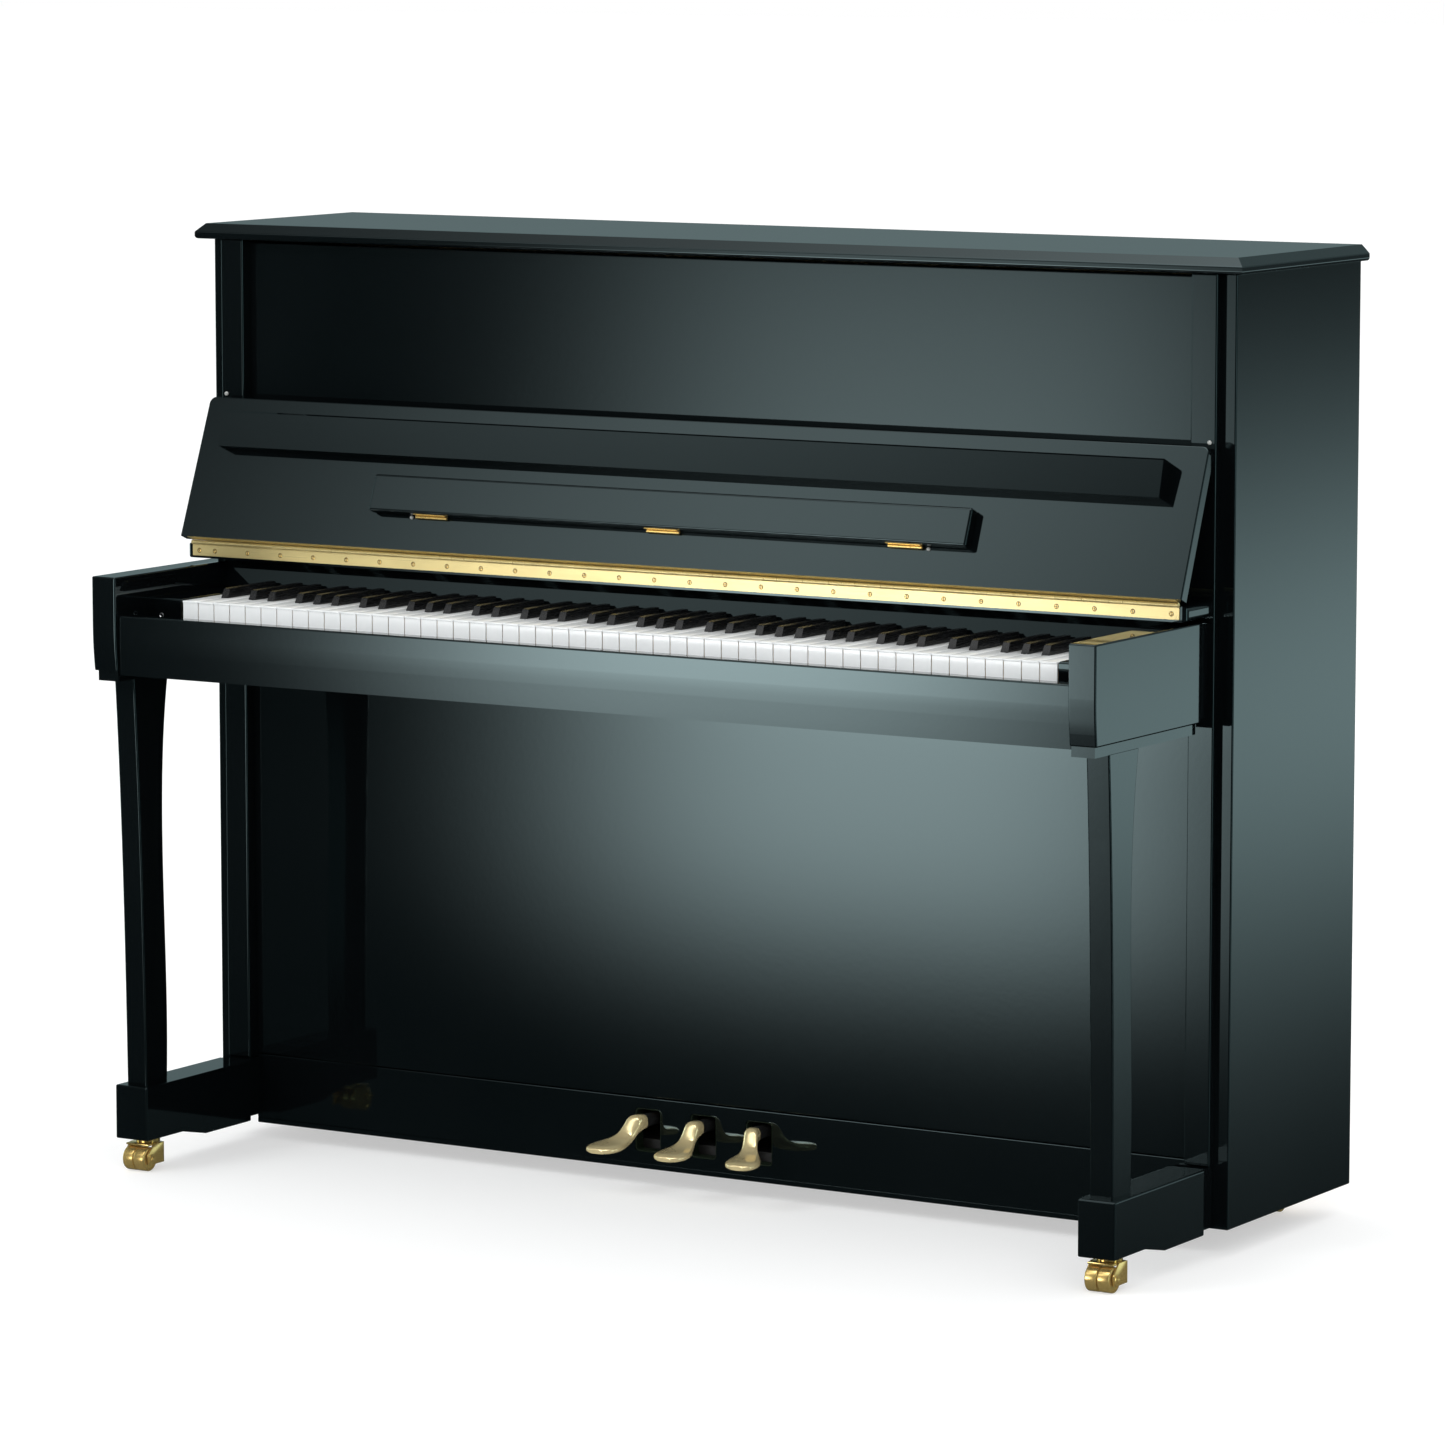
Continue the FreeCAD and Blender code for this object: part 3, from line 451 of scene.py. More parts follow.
def screw(bm, centre, direction, radius, height=0.0004):
    """A countersunk screw head with a cross recess."""
    turn = Vector(direction).to_track_quat("Z", "Y").to_matrix()
    centre = Vector(centre)
    steps = 16
    rings = []
    for share, rise in ((0.3, 0.0), (0.62, 0.0), (0.82, 1.0), (0.95, 0.8), (1.0, 0.0)):
        ring = []
        for k in range(steps):
            a = 2 * math.pi * k / steps
            in_cross = k % 4 == 0 and share < 0.7
            along = -height if in_cross or share < 0.5 else height * max(rise, 0.9 if share < 0.7 else 0)
            across = radius * share
            offset = Vector((across * math.cos(a), across * math.sin(a), along))
            ring.append(bm.verts.new(centre + turn @ offset))
        rings.append(ring)
    for lower, upper in zip(rings, rings[1:]):
        for k in range(steps):
            j = (k + 1) % steps
            bm.faces.new((lower[k], lower[j], upper[j], upper[k]))
    bm.faces.new(rings[0][::-1])


# ---------------------------------------------------------------- keyboard
NATURAL_STEPS = {0: 0, 2: 1, 4: 2, 5: 3, 7: 4, 9: 5, 11: 6}
SHARP_NOTES = (1, 3, 6, 8, 10)
KEY_COUNT = 88
WHITE_COUNT = 52
WHITE_GAP = 0.9 * MM
SHARP_WIDTH = 10.4 * MM
TOP_THICKNESS = 2.4 * MM
HEAD_LENGTH = 50 * MM
SHARP_GAP = 1.4 * MM            # from a white key's head to the black key behind it

key_boxes = [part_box(n) for n in NATURALS]
KEYS_LEFT = min(lo.x for lo, hi in key_boxes) - WHITE_GAP / 2
KEYS_RIGHT = max(hi.x for lo, hi in key_boxes) + WHITE_GAP / 2
WHITE_PITCH = (KEYS_RIGHT - KEYS_LEFT) / WHITE_COUNT
KEY_FRONT = key_boxes[0][0].y
KEY_BOTTOM = key_boxes[0][0].z
KEY_TOP = KEY_BOTTOM + 23.6 * MM
KEY_BACK = KEY_FRONT + 376 * MM
SHARP_TOP = KEY_TOP + 11.8 * MM
SHARP_BACK = KEY_FRONT + 155 * MM
CAPSTAN_Y = KEY_BACK - 30 * MM
LEVER_BOTTOM = KEY_TOP + 7.4 * MM


def semitone(i):
    return (i + 9) % 12


def is_sharp(i):
    return semitone(i) in SHARP_NOTES


def octave_start(i):
    return KEYS_LEFT + (7 * ((i + 9) // 12) - 5) * WHITE_PITCH


def tail_centre(i):
    s = semitone(i)
    if s < 5:
        return octave_start(i) + (s + 0.5) * 3 * WHITE_PITCH / 5
    return octave_start(i) + 3 * WHITE_PITCH + (s - 4.5) * 4 * WHITE_PITCH / 7


def notes_of(node):
    """The notes that a key node holds: every third natural or every second sharp."""
    family, index = node.split("_")
    members = [i for i in range(KEY_COUNT) if is_sharp(i) == (family == "sharps")]
    step = 2 if family == "sharps" else 3
    return members["abc".index(index)::step]


def natural_outline(i, inset):
    """The key from above: a wide head, and a tail between the neighbouring sharps."""
    x0 = octave_start(i) + NATURAL_STEPS[semitone(i)] * WHITE_PITCH + WHITE_GAP / 2 + inset
    x1 = x0 + WHITE_PITCH - WHITE_GAP - 2 * inset
    step = SHARP_WIDTH / 2 + 1.0 * MM + inset
    left = tail_centre(i - 1) + step if i > 0 and is_sharp(i - 1) else x0
    right = tail_centre(i + 1) - step if i < KEY_COUNT - 1 and is_sharp(i + 1) else x1
    y0 = KEY_FRONT + inset
    y1 = KEY_FRONT + HEAD_LENGTH - inset
    y2 = KEY_BACK
    points = [(x0, y0), (x1, y0)]
    if right < x1:
        points += [(x1, y1), (right, y1)]
    points += [(right, y2), (left, y2)]
    if left > x0:
        points += [(left, y1), (x0, y1)]
    return points


def shortened(points, back):
    return [(x, min(y, back)) for x, y in points]


def wippen(bm, x):
    """The lever and jack that a key's capstan lifts."""
    y, z = CAPSTAN_Y, LEVER_BOTTOM
    outline = [(-8, 0), (8, 0), (8, 16), (45, 24), (45, 36), (21, 36), (20, 68), (14, 68), (13, 36),
               (-25, 36), (-25, 24), (-8, 16)]
    prism(bm, [(y + a * MM, z + b * MM) for a, b in outline], "x", x - 4 * MM, x + 4 * MM, 0.6 * MM, 1)


def capstan(bm, x, base):
    """A turned button on a thin neck, between a key and its lever."""
    top = LEVER_BOTTOM - base
    r = 3 * MM
    profile = [(0, 0.0), (0, 0.6 * r), (0.55 * top, 0.6 * r), (0.55 * top, r), (0.92 * top, r)]
    profile += [(top, 0.7 * r), (top, 0.0)]
    lathe(bm, profile, (x, CAPSTAN_Y, base), (0, 0, 1), 12)


def natural_keys(node):
    """Acrylic tops and fronts, wooden sticks with their levers, and brass capstans."""
    tops = bmesh.new()
    sticks = bmesh.new()
    capstans = bmesh.new()
    for i in notes_of(node):
        cover = shortened(natural_outline(i, 0.0), SHARP_BACK + 60 * MM)
        prism(tops, cover, "z", KEY_TOP - TOP_THICKNESS, KEY_TOP, 0.55 * MM, 2)
        stick = natural_outline(i, 0.25 * MM)
        x0, x1 = stick[0][0], stick[1][0]
        front = KEY_FRONT + 0.7 * MM
        block(tops, (x0, front, KEY_BOTTOM), (x1, front + 2 * MM, KEY_TOP - TOP_THICKNESS), 0.2 * MM, 1)
        body = [(x, max(y, front + 2 * MM)) for x, y in stick]
        prism(sticks, body, "z", KEY_BOTTOM, KEY_TOP - TOP_THICKNESS, 0.3 * MM, 1)
        x = tail_centre(i)
        wippen(sticks, x)
        capstan(capstans, x, KEY_TOP - TOP_THICKNESS)
    top = piece(node + "_tops", tops, node, WHITE, 25)
    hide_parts(node)
    piece(node + "_sticks", sticks, node, KEY_WOOD)
    piece(node + "_capstans", capstans, node, BRASS)


def sharp_keys(node):
    """Black tops that taper upwards and slope at the front, on wooden sticks."""
    tops = bmesh.new()
    sticks = bmesh.new()
    capstans = bmesh.new()
    y0 = KEY_FRONT + HEAD_LENGTH + SHARP_GAP
    foot = KEY_TOP - 1.5 * MM
    half = SHARP_WIDTH / 2
    waist = half - 0.9 * MM
    for i in notes_of(node):
        x = tail_centre(i)
        rings = ((y0, foot, half),
                 (y0 + 0.6 * MM, KEY_TOP + 1 * MM, half - 0.1 * MM),
                 (y0 + 6.0 * MM, SHARP_TOP - 0.9 * MM, waist),
                 (y0 + 9 * MM, SHARP_TOP, waist - 0.5 * MM))
        front = [Vector((x + s * h, y, z)) for y, z, h in rings for s in (-1, 1)]
        back = [Vector((x + s * h, SHARP_BACK, z)) for y, z, h in rings for s in (-1, 1)]
        v = [tops.verts.new(p) for p in front]
        w = [tops.verts.new(p) for p in back]
        faces = []
        for k in range(3):
            a, b, c, d = 2 * k, 2 * k + 1, 2 * k + 3, 2 * k + 2
            faces.append(tops.faces.new((v[a], v[b], v[c], v[d])))
            faces.append(tops.faces.new((w[d], w[c], w[b], w[a])))
            faces.append(tops.faces.new((v[a], v[d], w[d], w[a])))
            faces.append(tops.faces.new((v[c], v[b], w[b], w[c])))
        faces.append(tops.faces.new((v[6], v[7], w[7], w[6])))
        faces.append(tops.faces.new((v[1], v[0], w[0], w[1])))
        edges = [e for e in {e for f in faces for e in f.edges} if e.calc_face_angle(0.0) > math.radians(40)]
        bmesh.ops.bevel(tops, geom=edges, offset=0.5 * MM, segments=2, profile=0.6, affect="EDGES")
        stick_half = half - 0.2 * MM
        block(sticks, (x - stick_half, y0 + 1 * MM, KEY_BOTTOM), (x + stick_half, KEY_BACK, foot),
              0.3 * MM, 1)
        wippen(sticks, x)
        capstan(capstans, x, foot)
    top = piece(node + "_tops", tops, node, BLACK, 25)
    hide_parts(node)
    piece(node + "_sticks", sticks, node, KEY_WOOD)
    piece(node + "_capstans", capstans, node, BRASS)


# ---------------------------------------------------------------- hammers
HAMMER_PIVOT = Vector((0, KEY_FRONT + 381 * MM, KEY_BOTTOM + 123 * MM))
HAMMER_REST = math.radians(14)
# outlines along y and z from the pivot, in millimetres, with the hammer upright
HAMMER_FELT_OUTLINE = ((22, 116.5), (31, 117.6), (38, 119.8), (42.6, 122.2), (43.8, 124.5), (42.6, 126.8),
                       (38, 129.2), (31, 131.4), (22, 132.5), (10, 131), (10, 118))
HAMMER_MOULDING = ((-12, 117), (9.4, 118.5), (9.4, 130.5), (-12, 129))
HAMMER_BUTT = ((-9, -10), (9, -10), (9, 14), (5, 24), (-5, 24), (-9, 14))


def hammers(node):
    """Felt heads on wooden mouldings, shanks and butts, leaning at rest."""
    heads = bmesh.new()
    woods = bmesh.new()
    shank = [(20 * MM, 0.0), (20 * MM, 2.7 * MM), (117.5 * MM, 2.7 * MM), (117.5 * MM, 0.0)]
    for i in notes_of(node.replace("hammers_", "")):
        x = tail_centre(i)
        bass = 1.0 - i / KEY_COUNT
        half = (4.0 + 0.5 * bass) * MM
        prism(heads, in_mm(HAMMER_FELT_OUTLINE), "x", x - half, x + half, 0.5 * MM, 2)
        prism(woods, in_mm(HAMMER_MOULDING), "x", x - half, x + half, 0.8 * MM, 2)
        lathe(woods, shank, (x, 0, 0), (0, 0, 1), 12)
        prism(woods, in_mm(HAMMER_BUTT), "x", x - 5 * MM, x + 5 * MM, 0.8 * MM, 1)
    lean = Matrix.Translation(HAMMER_PIVOT) @ Matrix.Rotation(HAMMER_REST, 4, "X")
    for bm in (heads, woods):
        bmesh.ops.transform(bm, matrix=lean, verts=bm.verts)
    top = piece(node + "_felts", heads, node, HAMMER_FELT, 40)
    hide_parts(node)
    piece(node + "_woods", woods, node, BEECH)


# ---------------------------------------------------------------- pedals
PEDAL_SLOTS = (-80 * MM, 0.0, 80 * MM)
PEDAL_SPLAY = {"pedal_left": -22 * MM, "pedal_middle": -4 * MM, "pedal_right": 18 * MM}
# along y, middle height, half width, half thickness and the share of the splay, all in millimetres
PEDAL_STATIONS = ((-98, 57.0, 7, 2.0, 1.04), (-96, 57.2, 12, 3.4, 1.03), (-91, 57.8, 18.5, 4.6, 1.0),
                  (-80, 58.8, 22.5, 5.2, 0.95), (-68, 60.2, 21, 5.4, 0.86), (-57, 62.6, 16.0, 5.8, 0.7),
                  (-49, 67.0, 12, 7.0, 0.5), (-43, 74.5, 10.4, 9.5, 0.34), (-38, 81.5, 10.2, 11.0, 0.22),
                  (-31, 84.0, 9.8, 10.4, 0.12), (-20, 85.0, 8.8, 8.6, 0.03), (0, 85.0, 8.5, 7.6, 0.0),
                  (63.5, 85.0, 8.5, 7.2, 0.0))
PEDAL_PAINT = -27 * MM          # behind this the pedal is black instead of brass


def eased(stations, steps):
    """A smooth curve of values through the stations."""
    rows = [stations[0]] + list(stations) + [stations[-1]]
    out = []
    for k in range(1, len(rows) - 2):
        for j in range(steps):
            t = j / steps
            row = []
            for a, b, c, d in zip(rows[k - 1], rows[k], rows[k + 1], rows[k + 2]):
                row.append(0.5 * (2 * b + (c - a) * t + (2 * a - 5 * b + 4 * c - d) * t * t
                                  + (3 * b - a - 3 * c + d) * t ** 3))
            out.append(row)
    out.append(list(stations[-1]))
    return out


def oval(x, y, z, half, thick, steps=28, power=0.72):
    """A rounded rectangular ring across the pedal."""
    ring = []
    for k in range(steps):
        a = 2 * math.pi * k / steps
        c, s = math.cos(a), math.sin(a)
        across = half * math.copysign(abs(c) ** power, c)
        ring.append((x + across, y, z + thick * math.copysign(abs(s) ** power, s)))
    return ring


def pedal(node):
    """A brass foot with a knob at its neck, then a black arm with a bored hub and a back end."""
    lo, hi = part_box(node)
    middle = PEDAL_SLOTS[PEDALS.index(node)]
    rings = []
    for y, z, half, thick, share in eased(PEDAL_STATIONS, 3):
        x = middle + share * PEDAL_SPLAY[node]
        rings.append(oval(x, max(y * MM, lo.y), z * MM, half * MM, thick * MM))
    joint = next(k for k, ring in enumerate(rings) if ring[0][1] > PEDAL_PAINT)
    foot = bmesh.new()
    loft(foot, rings[:joint + 1])
    made = piece(node + "_foot", foot, node, PEDAL_BRASS, 50)
    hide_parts(node)
    arm = bmesh.new()
    loft(arm, rings[joint:])
    loft(arm, [oval(middle, y, 85 * MM, 8.5 * MM, 7.2 * MM) for y in (76.5 * MM, hi.y - 1 * MM)])
    lathe(arm, [(-8.5 * MM, 3.6 * MM), (-8.5 * MM, 7.4 * MM), (-7.9 * MM, 8 * MM), (7.9 * MM, 8 * MM),
                (8.5 * MM, 7.4 * MM), (8.5 * MM, 3.6 * MM), (-8.5 * MM, 3.6 * MM)],
          (middle, 70 * MM, 85 * MM), (1, 0, 0), 32)
    piece(node + "_arm", arm, node, BLACK_IRON, 50)


def slot_linings():
    """A band of felt round the inside of each pedal slot."""
    bm = bmesh.new()
    lo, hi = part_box("toe_rail")
    y0 = lo.y + 1.2 * MM
    y1 = hi.y - 1.0 * MM
    for x in PEDAL_SLOTS:
        outer = slot_ring(x, 18.9 * MM, 44.1 * MM, 98.9 * MM, 6 * MM)
        inner = slot_ring(x, 17.3 * MM, 45.7 * MM, 97.3 * MM, 4.4 * MM)
        count = len(outer)
        loops = []
        for ring, y in ((outer, y0), (inner, y0), (inner, y1), (outer, y1)):
            loops.append([bm.verts.new((a, y, b)) for a, b in ring])
        for first, second in zip(loops, loops[1:] + loops[:1]):
            for k in range(count):
                j = (k + 1) % count
                bm.faces.new((first[k], first[j], second[j], second[k]))
    piece("pedal_slot_felts", bm, "case", GREEN_FELT)


def slot_ring(x, half, low, high, radius):
    """A rectangle with round corners, from its top right corner round to its bottom right."""
    corners = ((x + half - radius, high - radius, 0), (x - half + radius, high - radius, 90),
               (x - half + radius, low + radius, 180), (x + half - radius, low + radius, 270))
    points = []
    for cx, cz, start in corners:
        points += arc((cx, cz), radius, start, start + 90, 5)
    return points


# ---------------------------------------------------------------- casters
def wheel_pair(node):
    """Two brass drums with rounded rims, sunk side faces and a groove between them."""
    lo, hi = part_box(node)
    radius = (hi.z - lo.z) / 2
    centre = (lo + hi) / 2
    half = (hi.x - lo.x) / 2
    rim = 1.6 * MM
    bm = bmesh.new()
    profile = [(0.0, 3.1 * MM), (0.0, 6.5 * MM), (0.5 * MM, 7.0 * MM), (0.5 * MM, radius - rim)]
    profile += [(0.5 * MM + rim + a, radius - rim + b) for a, b in arc((0, 0), rim, 180, 90, 4)]
    profile += [(half - rim + a, radius - rim + b) for a, b in arc((0, 0), rim, 90, 0, 4)]
    profile += [(half, radius - 3.4 * MM), (half - 0.9 * MM, radius - 4.2 * MM), (half - 0.9 * MM, 3.1 * MM)]
    for side in (-1, 1):
        lathe(bm, profile, centre, (side, 0, 0), 48)
    made = piece(node + "_drums", bm, node, DRUM_BRASS)
    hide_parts(node)


def caster_fork(node):
    """Rounded cheeks joined over the wheels, with a boss and a button at each axle end."""
    lo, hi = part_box(node)
    x = (lo.x + hi.x) / 2
    name = node.replace("fork", "wheels")
    wheel_lo, wheel_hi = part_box(name)
    axle = (wheel_lo + wheel_hi) / 2
    inner = (wheel_hi.x - wheel_lo.x) / 2 + 0.8 * MM
    outer = inner + 2.2 * MM
    end = hi.x - x
    bm = bmesh.new()
    front = axle.y - 6 * MM
    outline = [(front + 1 * MM, lo.z), (hi.y, lo.z), (hi.y, hi.z), (axle.y + 5 * MM, hi.z),
               (axle.y - 8 * MM, axle.z + 6 * MM), (front - 1.5 * MM, axle.z)]
    for side in (-1, 1):
        ends = sorted((x + side * inner, x + side * outer))
        prism(bm, outline, "x", ends[0], ends[1], 0.7 * MM, 2)
        boss = [(inner - 0.4 * MM, 0.0), (inner - 0.4 * MM, 6.4 * MM), (end - 1.9 * MM, 6.4 * MM),
                (end - 1.4 * MM, 5.8 * MM), (end - 1.4 * MM, 3.2 * MM), (end - 0.6 * MM, 3.0 * MM),
                (end, 1.8 * MM), (end, 0.0)]
        lathe(bm, boss, (x, axle.y, axle.z), (side, 0, 0), 24)
    block(bm, (x - inner, axle.y - 5.5 * MM, hi.z - 2.5 * MM), (x + inner, hi.y, hi.z), 0.5 * MM, 2)
    pin = [(-inner, 0.0), (-inner, 3 * MM), (inner, 3 * MM), (inner, 0.0)]
    lathe(bm, pin, (x, axle.y, axle.z), (1, 0, 0), 20)
    made = piece(node + "_cheeks", bm, node, BRASS)
    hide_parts(node)


# ---------------------------------------------------------------- small fittings
LEAF_THICKNESS = 1.4 * MM
HINGE_SCREW_COUNT = 29
HINGE_SCREW_PITCH = 50 * MM
HINGE_SCREW_END = 10 * MM       # from the last screw to the end of the hinge
LID_HINGE_X = (-520 * MM, 0.0, 520 * MM)
POST_X = (-630 * MM, -315 * MM, 0.0, 315 * MM, 630 * MM)


def hinge_screws():
    """Countersunk screws along the flat leaf of the fallboard's hinge, with painted shade in their
    countersinks and slots.
    """
    lo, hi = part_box("fallboard_hinge_rail_leaf")
    leaf_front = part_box("hinge_rail")[0].y - LEAF_THICKNESS
    height = lo.z + 6.6 * MM
    bm = bmesh.new()
    sink_shade = bmesh.new()
    places = [hi.x - HINGE_SCREW_END - HINGE_SCREW_PITCH * k for k in range(HINGE_SCREW_COUNT - 1)]
    places.append(lo.x + HINGE_SCREW_END)
    for x in places:
        screw(bm, (x, leaf_front, height), (0, -1, 0), 2.5 * MM)
        # painted shade: a dark ring in each countersink and a dark slot across each head
        lathe(sink_shade, [(0, 2.4 * MM), (0.03 * MM, 2.4 * MM), (0.06 * MM, 3.1 * MM), (0, 3.1 * MM)],
              (x, leaf_front, height), (0, -1, 0), 20)
        block(sink_shade, (x - 0.3 * MM, leaf_front - 0.42 * MM, height - 1.5 * MM),
              (x + 0.3 * MM, leaf_front, height + 1.5 * MM))
    piece("hinge_screws", bm, "case", BRASS)
    piece("hinge_screw_sink_shade", sink_shade, "case", SINK_SHADE_BRASS)


def lid_hinge_screws():
    """Three screws in the case leaf of each lid hinge."""
    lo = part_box("lid_hinges_case")[0]
    bm = bmesh.new()
    for x in LID_HINGE_X:
        for dx, z in ((-28, 12), (0, 26), (28, 12)):
            screw(bm, (x + dx * MM, lo.y + LEAF_THICKNESS, lo.z + z * MM), (0, 1, 0), 3.0 * MM)
    piece("lid_hinge_screws", bm, "case", BRASS)


FALL_TILT = 21.7                # degrees that the open fallboard leans back from upright


def slope_axes():
    """Directions up the open fallboard and out of its face."""
    tilt = math.radians(FALL_TILT)
    up = Vector((0, math.sin(tilt), math.cos(tilt)))
    out = Vector((0, -math.cos(tilt), math.sin(tilt)))
    return up, out


FALL_AXIS = Vector(next(j["pos_m"] for j in frame["joints"] if j["name"] == "fallboard_hinge"))
UP, OUT = slope_axes()


def on_slope(x, u, n):
    """A point u up the fallboard and n out of it, in millimetres."""
    return FALL_AXIS + Vector((x, 0, 0)) + UP * (u * MM) + OUT * (n * MM)


def fallboard_fittings():
    """Pale rubber stops on the fallboard beside the music desk's outer hinges."""
    stops = bmesh.new()
    profile = [(0, 0.0), (0, 2.3 * MM), (1.6 * MM, 2.3 * MM), (2.4 * MM, 1.8 * MM), (2.8 * MM, 0.8 * MM),
               (2.8 * MM, 0.0)]
    for side in (-1, 1):
        lathe(stops, profile, on_slope(side * 365.5 * MM, 44.5, 14.5), OUT, 20)
    piece("desk_rubber_stops", stops, "fallboard", RUBBER)


def stile_buttons():
    """A small pale button on each stile, just above the open fallboard's corner."""
    bm = bmesh.new()
    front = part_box("stiles")[0].y
    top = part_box("fallboard")[1].z
    profile = [(0, 0.0), (0, 2.6 * MM), (1.4 * MM, 2.6 * MM), (2.2 * MM, 1.9 * MM), (2.5 * MM, 0.8 * MM),
               (2.5 * MM, 0.0)]
    for side in (-1, 1):
        lathe(bm, profile, (side * 696 * MM, front, top + 3 * MM), (0, -1, 0), 20)
    piece("stile_buttons", bm, "case", RUBBER)


def key_block_screws():
    """The bright screw that holds each key block, on its front face."""
    bm = bmesh.new()
    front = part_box("key_blocks")[0].y
    for x in (-645 * MM, 645 * MM):
        screw(bm, (x, front, KEY_BOTTOM + 3.5 * MM), (0, -1, 0), 3.4 * MM, 0.0007)
    piece("key_block_screws", bm, "case", STEEL)


def frame_bolts():
    """Two washers with bolt heads at each end of each back post."""
    bm = bmesh.new()
    lo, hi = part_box("back_frame")
    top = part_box("lid_hinges_case")[0].z - 16 * MM
    head = [(0, 0.0), (0, 8 * MM), (3.2 * MM, 8 * MM), (4.2 * MM, 6.5 * MM), (4.2 * MM, 0.0)]
    washer = [(0, 0.0), (0, 11 * MM), (1.0 * MM, 11 * MM), (1.3 * MM, 10 * MM), (1.3 * MM, 0.0)]
    for x in POST_X:
        for z in (top, top - 32 * MM, lo.z + 23 * MM, lo.z + 55 * MM):
            lathe(bm, head, (x, hi.y, z), (0, 1, 0), 6)
            lathe(bm, washer, (x, hi.y, z), (0, 1, 0), 28)
    piece("back_frame_bolts", bm, "case", STEEL)


# ---------------------------------------------------------------- carried-over nodes
def finish_nodes():
    """A detailed material for every CAD node that stays in view."""
    finishes = {
        POLISH: ("side_panel_left", "side_panel_right", "arm_left", "arm_right", "leg_left", "leg_right",
                 "toe_left", "toe_right", "stiles", "toe_rail", "knee_panel", "upper_panel", "key_slip",
                 "key_blocks", "nameboard", "hinge_rail", "lid", "fallboard", "fallboard_lip", "music_desk"),
        HINGE_BRASS: ("fallboard_hinge_rail_leaf", "fallboard_hinge_board_leaf"),
        BRASS: ("desk_hinges", "desk_hinge_leaves", "lid_hinges_case", "lid_hinges_lid", "caster_mounts",
                "rear_caster_wheels_left", "rear_caster_wheels_right", "front_caster_wheels_left",
                "front_caster_wheels_right", "front_caster_fork_left", "front_caster_fork_right") + PEDALS,
        BEECH: ("key_frame",),
        BLACK_BOARD: ("bottom_board", "key_bed"),
        DOWEL: ("pedal_rod_left", "pedal_rod_middle", "pedal_rod_right"),
        POST_WOOD: ("back_frame",),
        SPRUCE: ("soundboard",),
        HAMMER_FELT: ("dampers", "celeste_rail") + tuple("hammers_" + n for n in NATURALS + SHARPS),
        WHITE: NATURALS,
        BLACK: SHARPS,
        gold_plate(): ("iron_plate",),
        strings_and_pins(): ("strings_and_tuning_pins",),
        STEEL: ("action_frame", "pedal_brackets"),
    }
    for material, names in finishes.items():
        for name in names:
            mesh = frame["nodes"][name].data
            mesh.materials.clear()
            mesh.materials.append(material)


# ---------------------------------------------------------------- studio
def glow_card(name, centre, facing, size, spread, power, strength, tint=(1.0, 1.0, 1.0, 1.0)):
    """A soft light that only polished surfaces see, brightest in the middle and fading to nothing."""
    mesh = bpy.data.meshes.new(name)
    mesh.from_pydata([(-size[0], -size[1], 0), (size[0], -size[1], 0), (size[0], size[1], 0),
                      (-size[0], size[1], 0)], [], [(0, 1, 2, 3)])
    card = bpy.data.objects.new(name, mesh)
    bpy.context.scene.collection.objects.link(card)
    card.location = centre
    card.rotation_mode = "QUATERNION"
    card.rotation_quaternion = Vector(facing).to_track_quat("Z", "Y")
    s = Shader(name + "_light")
    axes = s.add("ShaderNodeSeparateXYZ")
    s.link(s.place, axes.inputs["Vector"])
    fall = None
    for axis, width, exponent in zip("XY", spread, power):
        share = s.math("DIVIDE", s.math("ABSOLUTE", axes.outputs[axis]), width)
        raised = s.math("POWER", share, exponent)
        fall = raised if fall is None else s.math("ADD", fall, raised)
    light = s.math("MULTIPLY", s.math("EXPONENT", s.math("MULTIPLY", fall, -1.0)), strength)
    emission = s.add("ShaderNodeEmission")
    emission.inputs["Color"].default_value = tint
    s.link(light, emission.inputs["Strength"])
    both = s.add("ShaderNodeAddShader")
    s.link(emission.outputs[0], both.inputs[0])
    s.link(s.add("ShaderNodeBsdfTransparent").outputs[0], both.inputs[1])
    s.link(both.outputs[0], s.output.inputs["Surface"])
    s.tree.nodes.remove(s.surface)
    mesh.materials.append(s.material)
    card.visible_camera = False
    card.visible_diffuse = False
    card.visible_shadow = False


def softbox(name, place, target, size, power):
    light = bpy.data.lights.new(name, "AREA")
    light.shape = "DISK"
    light.size = size
    light.energy = power
    light.color = (0.93, 0.99, 1.0)
    lamp = bpy.data.objects.new(name, light)
    bpy.context.scene.collection.objects.link(lamp)
    lamp.location = place
    lamp.rotation_mode = "QUATERNION"
    lamp.rotation_quaternion = (Vector(target) - Vector(place)).to_track_quat("-Z", "Y")
    lamp.visible_glossy = False
    lamp.visible_camera = False


